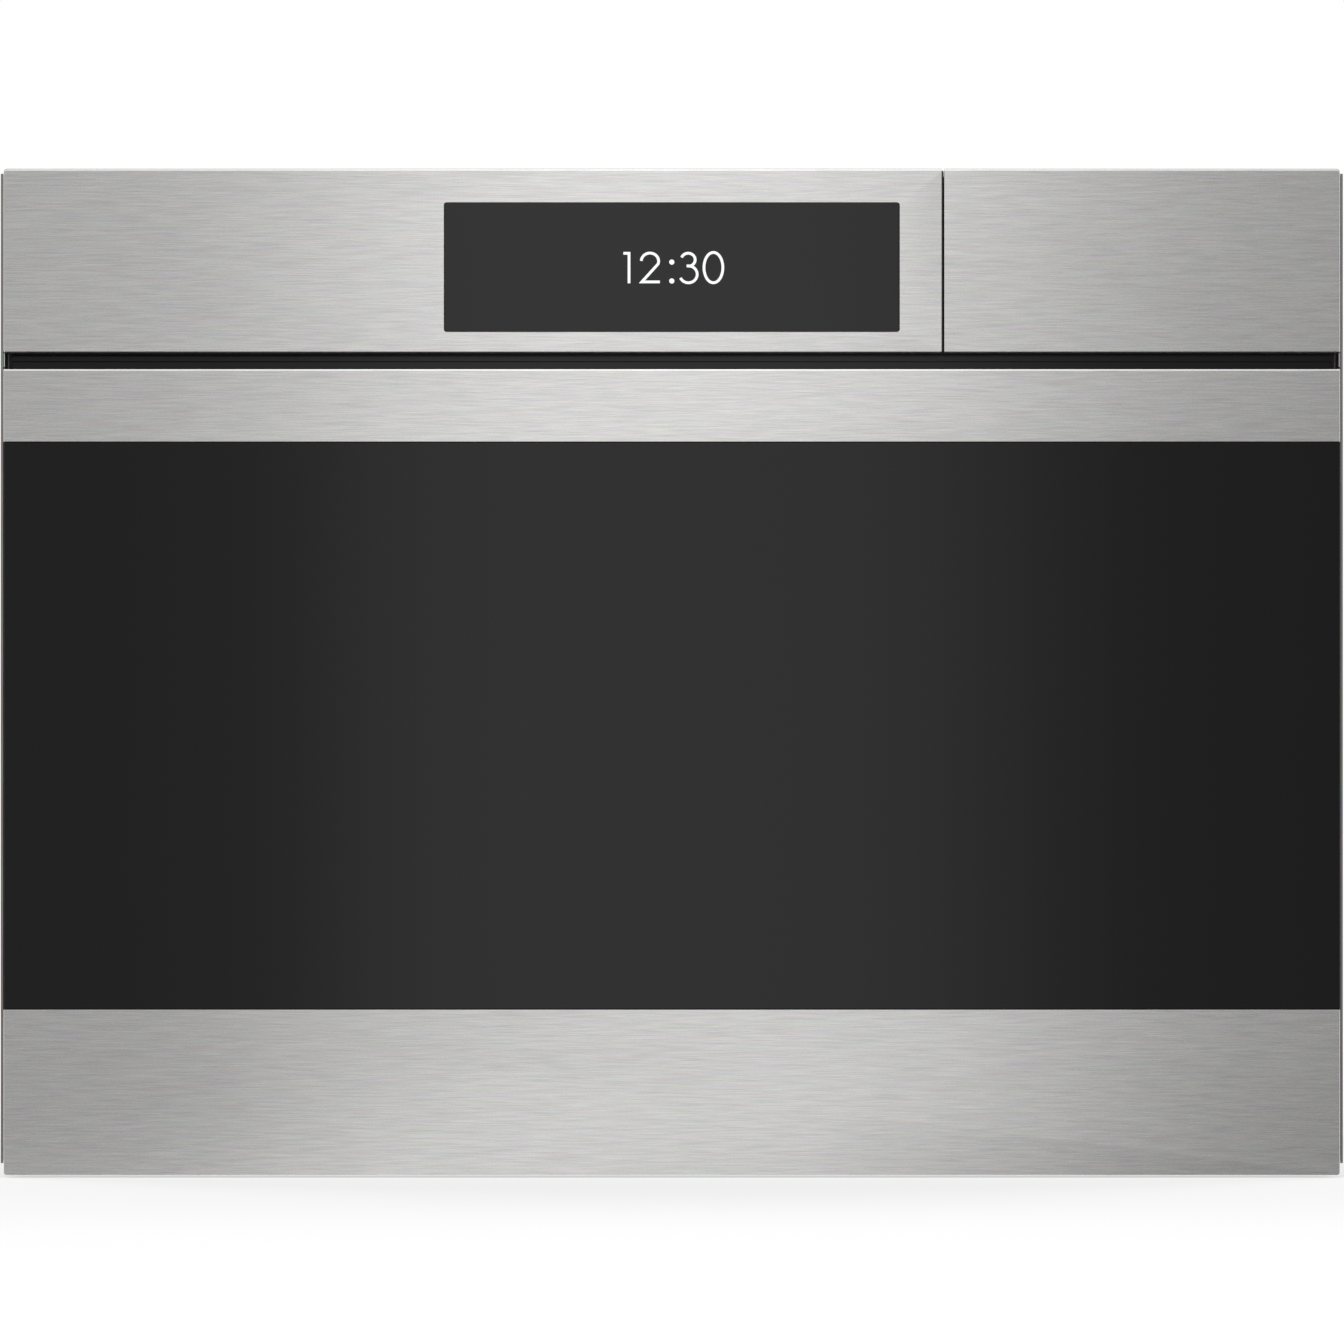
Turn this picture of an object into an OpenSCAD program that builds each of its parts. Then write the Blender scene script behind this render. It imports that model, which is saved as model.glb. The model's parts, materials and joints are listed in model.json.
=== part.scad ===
/* [Overall] */
// Width across the side trim strips
trim_w = 597; // [580:1:610]
// Depth from the front faces to the end of the cable inlet
depth = 569; // [560:1:590]
// Height of the skids under the base
skid_h = 3; // [2:0.5:5]
// Height of the door's lower edge above the skids' underside
front_lift = 1; // [0.5:0.5:2]
// Thickness of the side trim and front flange sheet
trim_t = 1.1; // [0.8:0.1:1.5]
// Gap between the front panels and the side trim
trim_gap = 0.4; // [0.3:0.1:1]
// Distance of the side trim's front edge behind the front faces
trim_setback = 6; // [4:0.5:10]
// Distance of the side trim's ends from the top and bottom edges of the front
trim_end = 5.4; // [3:0.1:10]

/* [Fascia] */
// Height of the control fascia
fascia_h = 81.5; // [76:0.5:90]
// Height of the air slot between fascia and door
slot_h = 7.4; // [5:0.1:10]
// Width of the display glass
display_w = 202.2; // [180:0.1:210]
// Height of the display glass
display_h = 57.3; // [45:0.1:60]
// Distance of the display glass below the fascia's top edge
display_drop = 15.1; // [10:0.1:16]
// Distance from the display glass to the control fascia's right-hand end
display_margin = 18.9; // [15:0.1:25]
// Gap between the control fascia and the water drawer's front
split_gap = 1; // [0.6:0.1:2]
// Thickness of the folded front sheets
sheet_t = 1.2; // [0.8:0.1:1.5]
// Depth of the fascia's folded edges
fascia_fold = 18; // [10:1:20]

/* [Door] */
// Height of the door
door_h = 358.6; // [350:0.1:362]
// Height of the steel strip at the door's top
top_strip_h = 32.6; // [20:0.1:40]
// Height of the steel strip at the door's bottom
bottom_strip_h = 73.9; // [60:0.1:90]
// Thickness of the door from its front face to the inner glass's inner face
door_t = 36; // [35:0.5:37]
// Thickness of each glass pane
pane_t = 4; // [3:0.5:4.5]
// Reach of the door's inner body past the casing at each side
body_over = 2; // [1:0.5:3]
// Distance of the window in the door's frame from the cavity's side walls
window_inset = 5; // [2:0.5:15]
// Sheet thickness of the door's frame
frame_t = 1.2; // [1:0.1:2]

/* [Hinge] */
// Distance of the hinge axis behind the front faces
hinge_y = 12; // [11:0.5:13]
// Height of the hinge axis above the door's lower edge
hinge_rise = 22; // [20:0.5:23]
// Distance of each hinge arm's middle from the casing's side
hinge_inset = 7.5; // [7:0.5:9]
// Thickness of the hinge arm
arm_t = 5; // [4:0.5:6]
// Radius of the arm's round nose
arm_r = 7; // [6:0.5:7]
// Radius of the hinge pin
pin_r = 3; // [2.5:0.1:4]
// Radial clearance of pins and shafts in their bores
run_gap = 0.05; // [0.03:0.01:0.08]

/* [Flange] */
// Width of the front flange beside the casing
flange_w = 20.5; // [19:0.5:22]
// Distance of the front flange's front face behind the front faces
flange_y = 40; // [39:0.5:42]
// Thickness of the part of the flange that bears on the cabinet
flange_t = 2; // [1.8:0.1:3]
// Step from the flange's rear face forward to the casing's front edge
flange_step = 0.5; // [0.3:0.1:0.8]
// Distance of the mounting screws from the casing's sides
screw_out = 11; // [10:0.5:12]
// Distance between the mounting screws in height
screw_dz = 285; // [250:1:290]
// Height of the lower mounting screws
screw_z = 60; // [55:1:65]
// Radius of the mounting screw holes
screw_r = 2.25; // [2:0.05:2.75]

/* [Casing] */
// Distance of the casing's top face below the fascia's top edge
casing_drop = 7.5; // [5:0.5:10]
// Thickness of the casing sheets
casing_t = 1; // [0.8:0.1:1.2]
// Distance from the rear panel to the end of the cable inlet
rear_gap = 14; // [12:1:18]
// Width of each skid
skid_w = 24; // [16:1:30]
// Distance of the skids' middles from the casing's sides
skid_inset = 58; // [40:1:80]
// Number of louvres in each field
louvre_n = 9; // [4:1:12]
// Length of each louvre
louvre_l = 60; // [40:1:80]
// Height of each louvre
louvre_h = 4; // [3:0.5:6]
// Pitch of the louvres
louvre_pitch = 12; // [10:1:14]

/* [Cavity] */
// Distance of the cavity's side walls from the casing's sides
cavity_side = 58; // [56:1:65]
// Height of the cavity's floor
cavity_z = 60; // [58:0.5:62]
// Distance from the cavity's ceiling up to the cooling duct
cavity_drop = 24; // [20:0.5:28]
// Distance from the cavity's rear wall to the rear panel
rear_room = 125; // [115:1:135]
// Thickness of the cavity's sheet
cavity_t = 1.2; // [0.8:0.1:1.5]
// Width of the cavity's front rim
rim_w = 20; // [18:0.5:22]
// Thickness of the insulation
wool_t = 14; // [10:1:15]
// Radius of the door seal's tube
seal_r = 2.5; // [2:0.1:2.6]
// Distance between the door seal and the cavity's mouth
seal_inset = 7; // [5:0.5:9]
// Corner radius of the door seal
seal_corner = 20; // [10:1:30]
// Gap between the door seal and the inner pane
seal_gap = 0.3; // [0.3:0.1:0.6]

/* [Racks] */
// Number of shelf levels
level_n = 4; // [3:1:4]
// Height of the lowest rail above the cavity's floor
level_rise = 30; // [25:1:32]
// Pitch of the shelf levels
level_pitch = 55; // [50:1:56]
// Radius of the rails
rail_r = 2.5; // [2:0.1:3]
// Height between the lower and upper rail of a level
rail_gap = 14; // [13:0.5:16]
// Radius of the upright rods of the rack supports
upright_r = 3; // [2.5:0.1:3.5]
// Radius of the wire rack's frame rod
rack_r = 3; // [2.5:0.1:3.5]
// Radius of the wire rack's thin rods
wire_r = 1.5; // [1:0.1:2]
// Number of thin rods on the wire rack
wire_n = 15; // [9:1:19]
// Depth of the pans below their rims
pan_drop = 40; // [20:1:42]
// Thickness of the pan sheet
pan_t = 1.2; // [0.8:0.1:1.5]
// Width of the pans' rims at each side
pan_rim = 16; // [12:1:20]
// Radius of the perforated pan's holes
hole_r = 2; // [1.5:0.1:3]
// Number of holes across the perforated pan
hole_nx = 13; // [5:1:16]
// Number of holes along the perforated pan
hole_ny = 9; // [4:1:12]
// Clearance under racks, pans and other loose pieces
rest_gap = 0.3; // [0.3:0.05:0.6]

/* [Fan] */
// Radius of the fan wheel
fan_r = 72; // [60:1:74]
// Depth of the fan wheel's blades
fan_w = 26; // [20:1:28]
// Number of fan blades
fan_n = 14; // [8:1:18]
// Radius of the fan shaft
shaft_r = 4; // [3:0.5:5]
// Distance from the cavity's rear wall to the fan baffle's front face
baffle_gap = 44; // [42:1:46]
// Distance of the fan baffle from the cavity's side walls
baffle_side = 70; // [60:1:75]
// Distance of the fan baffle from the cavity's floor and ceiling
baffle_end = 19; // [15:1:25]
// Radius of the heater ring
heater_ring_r = 90; // [86:1:94]
// Radius of the heater's tube
heater_r = 3.3; // [3:0.1:4]
// Radius of the fan motor's body
motor_r = 40; // [30:1:44]
// Length of the fan motor's body
motor_l = 62; // [50:1:70]

/* [Cooling] */
// Height inside the cooling duct
duct_h = 19; // [18:0.5:20]
// Reach of the cooling duct past the cavity's side walls
duct_over = 12; // [5:1:16]
// Radius of the blower housing
blower_r = 58; // [50:1:62]
// Height of the blower housing
blower_h = 38; // [30:1:40]
// Gap between the blower wheel and the housing's outside
impeller_gap = 10; // [8:1:14]
// Number of blower blades
impeller_n = 16; // [8:1:20]
// Outer radius of the vent tube
vent_r = 15; // [14:0.5:17]
// Wall of the vent tube
vent_t = 1.5; // [1:0.1:2]
// Gap between the vent damper and its tube
damper_gap = 0.5; // [0.4:0.1:0.8]

/* [Water] */
// Distance of the tank bay's inside from the ends of the drawer's front
bay_side = 24; // [22:0.5:30]
// Height of the tank bay's floor above the component shelf
bay_rise = 5; // [4:0.5:6]
// Distance from the tank bay's rear wall to the rear panel
bay_room = 177.5; // [170:0.5:190]
// Wall of the tank bay
bay_t = 1.5; // [1:0.1:2]
// Distance from the runners' rear ends to the tank bay's rear face
runner_end = 38; // [30:1:50]
// Height of the fixed runners
runner_h = 18; // [16:0.5:20]
// Sheet thickness of the runners
runner_t = 1; // [0.8:0.1:1.2]
// Clearance between the runners' parts
runner_gap = 0.3; // [0.3:0.05:0.4]
// Width of the middle runner's bar
bar_w = 4.1; // [3.8:0.1:4.4]
// Distance from the water tank's rear face to the tank bay's rear face
tank_end = 65; // [55:1:75]
// Height of the water tank without its lid
tank_h = 52; // [40:1:54]
// Wall of the water tank
tank_t = 2; // [1.5:0.1:2.5]
// Radius of the tank's outlet
outlet_r = 5; // [4:0.5:6]

/* [Hidden] */
$fn = 32;

// Overlap that lets cuts run past a face and pieces run into each other
eps = 1;

// Front panels: widths, heights and edges
panel_hw = trim_w / 2 - trim_t - trim_gap;
door_z = front_lift;
door_top = door_z + door_h;
fascia_z = door_top + slot_h;
front_top = fascia_z + fascia_h;
strip_z = door_top - top_strip_h;
glass_z = door_z + bottom_strip_h;
split_x = display_w / 2 + display_margin + split_gap;
display_z = front_top - display_drop - display_h;
glue_gap = 0.3;
pane_y = glue_gap + pane_t;
pane_edge_gap = 0.2;
ledge_gap = 3;

// Chassis planes, as distances behind the front faces, and the casing's sheets
step_y = flange_y + flange_t - flange_step;
rear_y = depth - rear_gap;
casing_hw = trim_w / 2 - flange_w;
casing_top = front_top - casing_drop;
inner_hw = casing_hw - casing_t;
base_z = skid_h + casing_t;
rear_panel_gap = 0.2;

// Cooling duct and component shelf
duct_t = 1;
shelf_z = fascia_z;
duct_top = shelf_z - duct_t;
duct_z = duct_top - duct_h - duct_t;
duct_end = 20;
duct_back = rear_y - duct_end;
shelf_side_gap = 0.3;
shelf_back_gap = 0.5;

// Cavity box
cavity_hw = casing_hw - cavity_side;
duct_hw = cavity_hw + duct_over;
cavity_top = duct_z - cavity_drop;
cavity_back = rear_y - rear_room;
cavity_mid = (cavity_z + cavity_top) / 2;
rim_hw = cavity_hw + rim_w;
rim_lap = 6;
mouth_rim = rim_w - rim_lap;
wool_hw = cavity_hw + cavity_t + wool_t;
wool_gap = 0.3;
wool_front_gap = 1;
fitting_over = 5;
fitting_t = 1.5;
fitting_room = 2;

// Front flange: openings for the arms and the control compartment, and its bearing strips
arm_side_gap = 2;
arm_under_gap = 4;
arm_over_gap = 6;
control_side = 8;
control_end = 12;
control_rise = 6;
bearing_gap = 1;

// Hinge
pivot_z = door_z + hinge_rise;
hinge_x = casing_hw - hinge_inset;
cheek_t = 2;
cheek_gap = 0.5;
cheek_in = arm_t / 2 + cheek_gap;
cheek_r = 7;
notch_side = 1.5;
notch_hw = cheek_in + cheek_t + notch_side;
notch_rise = 22;
notch_top = pivot_z + notch_rise;
knuckle_top_gap = 0.2;
knuckle_top = notch_top - knuckle_top_gap;
bridge_rise = 3;
bridge_t = 2;
bridge_reach = 4;
tab_hw = 7;
tab_t = 2;
tab_rise = 4;
tab_over = 0.5;
pin_over = 1;

// Door frame and panes
frame_drop = 9;
frame_z = pivot_z - frame_drop;
frame_over = 28;
frame_top = strip_z + frame_over;
pane_proud = 2;
frame_back = door_t - pane_proud;
plate_t = 3.2;
frame_plate_y = frame_back - plate_t;
door_body_hw = casing_hw + body_over;
window_hw = cavity_hw - window_inset;
window_up = 46;
window_down = 30;
window_z = frame_z + window_up;
window_top = frame_top - window_down;
inner_pane_y = door_t - pane_t;
inner_pane_over = 24;
inner_pane_up = 26;
inner_pane_down = 10;
inner_pane_hw = cavity_hw + inner_pane_over;
inner_pane_z = frame_z + inner_pane_up;
inner_pane_top = frame_top - inner_pane_down;
pane_side_gap = 0.6;
pane_ledge = 8;
middle_pane_y = 16;
middle_pane_over = 9;
retainer_l = 26;
retainer_lap = 4;
knuckle_gap = 1;

// Hinge arm's root, springs and their studs
arm_l = 130;
arm_root = 20;
arm_rise = 24;
arm_foot_start = 34;
arm_foot_end = 20;
arm_foot_rise = 14;
spring_r = 7;
spring_gap = 0.5;
spring_t = 2;
spring_end = 24;
spring_x = hinge_x - arm_t / 2 - spring_r - spring_gap;
spring_rise = 7;
spring_z = pivot_z + spring_rise;
stud_r = 2.5;
stud_over = 8;
stud_gap = 0.3;
stud_y = step_y + arm_l - stud_over;

// Base lip and skids
lip_side_gap = 8;
lip_hw = spring_x - spring_r - lip_side_gap;
lip_gap = 4;
lip_top = cavity_z - rim_w - lip_gap;
skid_x = casing_hw - skid_inset;
skid_end = 8;

// Louvres, casing screws and the cable's hole
louvre_back = 40;
louvre_up = 30;
louvre_top_back = 60;
louvre_reach = 2;
rear_louvre_x = 110;
cable_room = 3;
screw_head_r = 4;
screw_head_h = 1.3;
screw_up = 12;
screw_low = base_z + screw_up;
screw_down = 14;
screw_high = casing_top - screw_down;
screw_front = 30;
screw_back = 12;
screw_side = 14;
screw_mid = 90;

// Rails
upright_gap = 0.5;
upright_x = cavity_hw - upright_r - upright_gap;
rail_reach = 7;
rail_x = upright_x - rail_reach;
rail_front = 16;
rail_back = 20.5;
rail_y0 = step_y + rail_front;
rail_y1 = cavity_back - baffle_gap - rail_back;
upright_inset = 12;
upright_y = [rail_y0 + upright_inset, rail_y1 - upright_inset];
upright_over = 12;
stub_inset = 6;
level_0 = cavity_z + level_rise;
support_z = level_0 - upright_over;
support_top = level_0 + (level_n - 1) * level_pitch + rail_gap + upright_over;

// Trays
tray_front = 14;
tray_back = 10;
tray_y0 = door_t + tray_front;
tray_y1 = cavity_back - baffle_gap - tray_back;
tray_side_gap = 0.7;
tray_hw = upright_x - upright_r - tray_side_gap;
rack_level = level_n - 1;
pan_level = level_n - 2;
tray_level = level_n - 3;
rack_corner = 12;
rack_side_gap = 0.3;
brace_n = 2;
brace_over = 0.5;
hole_inset = 26;
hole_hw = tray_hw - pan_rim - hole_inset;
hole_y0 = tray_y0 + pan_rim + hole_inset;
hole_y1 = tray_y1 - pan_rim - hole_inset;

// Fan set
baffle_y = cavity_back - baffle_gap;
baffle_hw = cavity_hw - baffle_side;
baffle_hh = cavity_mid - cavity_z - baffle_end;
fan_wall_gap = 8;
fan_back_y = cavity_back - fan_wall_gap;
fan_t = 1.2;
blade_t = 1;
blade_start = 0.45;
blade_edge = 0.5;
hub_r = 12;
hub_short = 8;
motor_gap = 4;
motor_y = cavity_back + wool_t + motor_gap;
bearing_l = 10;
bearing_bore = 20;
shaft_end = 18;
shaft_room = 2;
nut_over = 4;
nut_start = 2;
nut_y = fan_back_y - fan_w;
motor_hole_over = 14;
motor_hole_r = heater_ring_r + motor_hole_over;
motor_plate_t = 2;
motor_plate_over = 18;
post_over = 12;
post_r = 4;
post_at = motor_r + post_over;
heater_gap = 22;
heater_y = cavity_back - heater_gap;
heater_arc = 330;
heater_facets = 96;
leg_gap = 0.4;
leg_out = 10;
elbow_over = 0.1;
heater_plate_side = 8;
heater_plate_hh = 7;

// Grille of the fan baffle: rings of holes, each with its number of holes and its radius
grille_rings = [[1, 0], [8, 17], [14, 32], [20, 47], [26, 61]];
grille = [for (ring = grille_rings, i = [0 : ring[0] - 1]) [ring[1], 360 * i / ring[0]]];
grille_r = 5;
side_slot_n = 3;
slot_pitch = 26;
slot_hh = 9;
slot_end = 12;

// Heater legs, as angles round the fan's axis, and their places
leg_angles = [-90 - (360 - heater_arc) / 2, -90 + (360 - heater_arc) / 2];
leg_x = heater_ring_r * cos(leg_angles[1]);
leg_z = cavity_mid + heater_ring_r * sin(leg_angles[1]);

// Points on the cavity's walls where fittings pass
lamp_side = 90;
lamp_x = -cavity_hw + lamp_side;
lamp_front = 100;
lamp_y = step_y + lamp_front;
lamp_r = 21;
lamp_gap = 0.5;
lamp_wall = 1.5;
lamp_short = 1;
lens_t = 3;
lens_over = 4;
lens_plug = 4;
nozzle_side = 35;
nozzle_x = -cavity_hw + nozzle_side;
nozzle_rise = 90;
nozzle_z = cavity_z + nozzle_rise;
nozzle_r = 6;
nozzle_gap = 0.2;
nozzle_reach = 14;
pipe_t = 2;
sensor_side = 35;
sensor_x = cavity_hw - sensor_side;
sensor_drop = 32;
sensor_z = cavity_top - sensor_drop;
sensor_r = 2;
sensor_gap = 0.5;
sensor_reach = 34;
sensor_out = 16;
vent_side = 55;
vent_x = cavity_hw - vent_side;
vent_drop = 64;
vent_z = cavity_top - vent_drop;
vent_out = 56;
vent_y = cavity_back + vent_out;
damper_out = 30;
damper_y = cavity_back + damper_out;
damper_t = 1.2;
damper_axle_r = 1.5;
damper_axle_over = 4;

// Sump, its drain pipe and the strainer
sump_front = 160;
sump_y = step_y + sump_front;
sump_r = 20;
sump_t = 2;
sump_depth = 30;
sump_z = cavity_z - sump_depth;
sump_bottom_t = 1.2;
drain_drop = 23;
drain_z = cavity_z - drain_drop;
drain_r = 5;
drain_t = 1.5;
strainer_over = 4;
strainer_t = 1.5;
strainer_depth = 9;
strainer_gap = 0.5;
strainer_wall = 1.2;
strainer_knob_r = 4;
strainer_knob_h = 6;
strainer_hole_n = 12;
strainer_hole_at = 13;
strainer_hole_r = 2;

// Steam generator in the rear compartment
generator_side = 30;
generator_x = -cavity_hw + generator_side;
generator_gap = 10;
generator_y = cavity_back + wool_t + generator_gap;
generator_r = (rear_y - casing_t - generator_gap - generator_y) / 2;
generator_mid = generator_y + generator_r;
generator_rise = 80;
generator_z = base_z + generator_rise;
generator_h = 110;
bracket_hw = 45;
bracket_t = 12;
bracket_up = 30;
bracket_h = 50;
boss_hw = 10;
boss_hh = 12;

// Cable inlet at the rear
terminal_side = 73;
terminal_x = casing_hw - terminal_side;
terminal_rise = 46;
terminal_z = base_z + terminal_rise;
terminal_hw = 35;
terminal_hh = 26;
terminal_t = 1.5;
gland_bore = 5.5;
gland_r = 10;
gland_l = 6;

// Blower on the component shelf
blower_side = 177;
blower_x = -inner_hw + blower_side;
blower_back = 110;
blower_y = rear_y - blower_back;
blower_t = 1.5;
blower_mouth = 0.55;
outlet_hw = 30;
outlet_hl = 22;
impeller_r = blower_r - impeller_gap;
impeller_h = 24;
impeller_rise = 7;
impeller_z = shelf_z + impeller_rise;
impeller_t = 1.5;
impeller_hub_r = 8;
impeller_blade = 13;
impeller_edge = 1;
spindle_r = 3;
spindle_over = 14;
spindle_room = 2;
blower_motor_r = 24;
blower_motor_gap = 4;
blower_motor_top = 5;
spider_t = 2;
spider_hw = 4;
spider_start = 18;
spider_end = 8;
spider_foot = 8;

// Tank bay and runners
bay_hw = (panel_hw - split_x) / 2 - bay_side;
bay_x = (split_x + panel_hw) / 2;
bay_z = shelf_z + bay_rise;
bay_floor = bay_z + bay_t;
bay_top_gap = 1;
bay_top = casing_top - casing_t - bay_top_gap;
bay_y1 = rear_y - bay_room;
bay_foot_side = 10;
bay_foot_l = 10;
bay_foot_end = 20;
runner_front = 4;
runner_y = step_y + runner_front;
runner_y1 = bay_y1 - runner_end;
runner_rise = 3;
runner_z = bay_floor + runner_rise;
runner_w = 3.5;
outer_in = bay_hw - runner_w;
bar_out = bay_hw - runner_t - runner_gap;
bar_in = bar_out - bar_w;
bar_z = runner_z + runner_t + runner_gap;
bar_h = runner_h - 2 * (runner_t + runner_gap);

// Carriage, tank and its outlet
carriage_out = outer_in - runner_gap;
carriage_web = bar_in - runner_gap;
carriage_in = carriage_web - runner_t;
carriage_rise = 1;
carriage_z = bay_floor + carriage_rise;
carriage_t = 1.5;
carriage_end = 1;
carriage_drop = 6;
carriage_top = bay_top - carriage_drop;
tank_side_gap = 0.3;
tank_hw = carriage_in - tank_side_gap;
tank_front_gap = 1;
tank_y = fascia_fold + carriage_t + tank_front_gap;
tank_z = carriage_z + carriage_t;
tank_y1 = bay_y1 - tank_end;
tank_top = tank_z + tank_h;
outlet_rise = 9;
outlet_z = tank_z + outlet_rise;
outlet_wall = 2;
outlet_reach = 13;
lid_t = 3;
fill_hw = 24;
fill_front = 16;
fill_l = 60;
front_rib_hw = 2;
front_rib_inset = 10;

// Pump behind the tank bay, and its socket
pump_hw = 26;
pump_gap = 6;
pump_l = 54;
pump_h = 44;
pump_off = 20;
pipe_in = 14;
socket_wall = 4;
socket_gap = 3;
socket_room = 0.5;
socket_end = 6;
pipe_start = 9;
bore_end = 15;
bay_pipe_gap = 0.2;

// Fascia, carrier and display
fold_gap = 0.2;
carrier_hw = panel_hw - sheet_t - fold_gap;
carrier_x1 = split_x - split_gap - sheet_t - fold_gap;
carrier_z0 = fascia_z + sheet_t + fold_gap;
carrier_z1 = front_top - sheet_t - fold_gap;
carrier_t = 2.5;
display_t = 3;
display_gap = 0.15;
display_ledge = 6;
display_back = glue_gap + display_t;
module_side = 2;
module_gap = 0.2;
module_l = 10;
module_board_inset = 4;
module_board_edge = 2;
module_board_gap = 6;
module_board_y = display_back + carrier_t + module_board_gap;
module_board_t = 1.6;
module_post_r = 2.5;
module_post_inset = 8;
module_post_edge = 5;
module_post_l = 7;

// Control board and what stands on it
board_side = 15;
board_x = -inner_hw + board_side;
board_w = 86;
board_front = 20;
board_y = step_y + board_front;
board_l = 160;
board_rise = 6;
board_z = shelf_z + board_rise;
board_t = 1.6;
board_top = board_z + board_t;
board_post_r = 2.5;
board_post_inset = 5;
relay_n = 5;
relay_in = 8;
relay_front = 12;
relay_x = board_x + relay_in;
relay_y = board_y + relay_front;
relay_w = 16;
relay_l = 20;
relay_h = 15;
relay_pitch = 28;
transformer_in = 36;
transformer_front = 14;
transformer_x = board_x + transformer_in;
transformer_y = board_y + transformer_front;
transformer_w = 44;
transformer_l = 48;
transformer_h = 34;
capacitor_in = 48;
capacitor_front = 90;
capacitor_x = board_x + capacitor_in;
capacitor_y = board_y + capacitor_front;
capacitor_pitch = 24;
capacitor_r = 9;
capacitor_h = 26;

// Opener and switch beside the seal, above the cavity
push_side = 26;
opener_x = -casing_hw + push_side;
switch_x = casing_hw - push_side;
push_rise = 14;
push_z = cavity_top + push_rise;
push_body_hw = 10;
push_body_down = 10;
push_body_up = 9;
rod_r = 4;
rod_gap = 0.35;
rod_tip_gap = 0.3;
rod_tip = frame_back + rod_tip_gap;
rod_l = 76;
rod_cap_t = 3;
rod_cap_over = 2;
rod_bore_end = 4;
rod_wall = 8;
plunger_r = 2.5;
plunger_l = 26;
plunger_cap_t = 2;
plunger_cap_over = 1.5;
plunger_wall = 6;

// Door seal
seal_front = door_t + seal_gap;
seal_hw = cavity_hw + seal_inset;
seal_z0 = cavity_z - seal_inset;
seal_z1 = cavity_top + seal_inset;
seal_foot = 1.2;
seal_foot_grow = 1.5;

// Corner-to-corner box, with y measured back from the front faces
module slab(x0, x1, y0, y1, z0, z1)
    translate([x0, y0, z0])
        cube([x1 - x0, y1 - y0, z1 - z0]);

// Slab that is centred across the width
module wide(hw, y0, y1, z0, z1, x = 0)
    slab(x - hw, x + hw, y0, y1, z0, z1);

module rod_x(x0, x1, y, z, r)
    translate([x0, y, z])
        rotate([0, 90, 0])
            cylinder(r = r, h = x1 - x0);

module rod_y(x, y0, y1, z, r)
    translate([x, y0, z])
        rotate([-90, 0, 0])
            cylinder(r = r, h = y1 - y0);

module rod_z(x, y, z0, z1, r)
    translate([x, y, z0])
        cylinder(r = r, h = z1 - z0);

// Moves a part from its distance behind the front to the model's own frame
module placed(tint)
    color(tint)
        translate([0, -depth / 2, 0])
            children();

// Draws the children at the right and mirrored at the left
module both_sides()
    for (side = [0, 1])
        mirror([side, 0, 0])
            children();

// Box with walls, closed or open at its front and back
module box_shell(x0, x1, y0, y1, z0, z1, wall, front = true, back = true)
    difference() {
        slab(x0, x1, y0, y1, z0, z1);
        slab(
            x0 + wall, x1 - wall,
            front ? y0 + wall : y0 - eps, back ? y1 - wall : y1 + eps,
            z0 + wall, z1 - wall
        );
    }

module mounting_frame()
    placed("dimgray")
        difference() {
            z0 = door_z + trim_end;
            z1 = front_top - trim_end;
            union() {
                wide(trim_w / 2, flange_y, step_y, z0, z1);
                both_sides() {
                    slab(casing_hw + bearing_gap, trim_w / 2, flange_y, flange_y + flange_t, z0, z1);
                    slab(trim_w / 2 - trim_t, trim_w / 2, trim_setback, flange_y + flange_t, z0, z1);
                }
            }
            wide(cavity_hw + mouth_rim, 0, step_y + eps, cavity_z - mouth_rim, cavity_top + mouth_rim);
            wide(duct_hw - duct_t, 0, step_y + eps, duct_z + duct_t, duct_top);
            slab(bay_x - bay_hw, bay_x + bay_hw, 0, step_y + eps, bay_floor, bay_top - bay_t);
            slab(-inner_hw + control_side, split_x - control_end, 0, step_y + eps,
                 shelf_z + control_rise, bay_top);
            both_sides()
                wide(arm_t / 2 + arm_side_gap, 0, step_y + eps,
                     pivot_z - arm_r - arm_under_gap, pivot_z + arm_r + arm_over_gap, hinge_x);
            for (side = [-1, 1], z = [screw_z, screw_z + screw_dz])
                rod_y(side * (casing_hw + screw_out), 0, flange_y + flange_t + eps, z, screw_r);
            rod_y(opener_x, 0, step_y + eps, push_z, rod_r + rod_gap);
            rod_y(switch_x, 0, step_y + eps, push_z, plunger_r + rod_gap);
        }

module base_pan()
    placed("silver")
        union() {
            wide(casing_hw, step_y, rear_y, skid_h, base_z);
            wide(lip_hw, step_y, step_y + casing_t, skid_h, lip_top);
            both_sides()
                wide(skid_w / 2, step_y + skid_end, rear_y - skid_end, 0, skid_h, skid_x);
        }

module outer_cover()
    placed("silver")
        difference() {
            union() {
                wide(casing_hw, step_y, rear_y, casing_top - casing_t, casing_top);
                both_sides()
                    slab(inner_hw, casing_hw, step_y, rear_y, base_z, casing_top);
            }
            for (i = [0 : louvre_n - 1]) {
                z = base_z + louvre_up + i * louvre_pitch;
                y = rear_y - louvre_top_back - i * louvre_pitch;
                both_sides()
                    wide(louvre_reach, rear_y - louvre_back - louvre_l, rear_y - louvre_back,
                         z, z + louvre_h, casing_hw);
                wide(louvre_l / 2, y, y + louvre_h, casing_top - casing_t - eps, casing_top + eps,
                     blower_x);
            }
        }

module rear_panel()
    placed("silver")
        difference() {
            wide(inner_hw - rear_panel_gap, rear_y - casing_t, rear_y, base_z, casing_top - casing_t);
            for (side = [-1, 1], i = [0 : louvre_n - 1])
                wide(louvre_l / 2, rear_y - casing_t - eps, rear_y + eps,
                     cavity_mid + i * louvre_pitch, cavity_mid + i * louvre_pitch + louvre_h,
                     side * rear_louvre_x);
            rod_y(terminal_x, rear_y - casing_t - eps, rear_y + eps, terminal_z, gland_bore + cable_room);
        }

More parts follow.
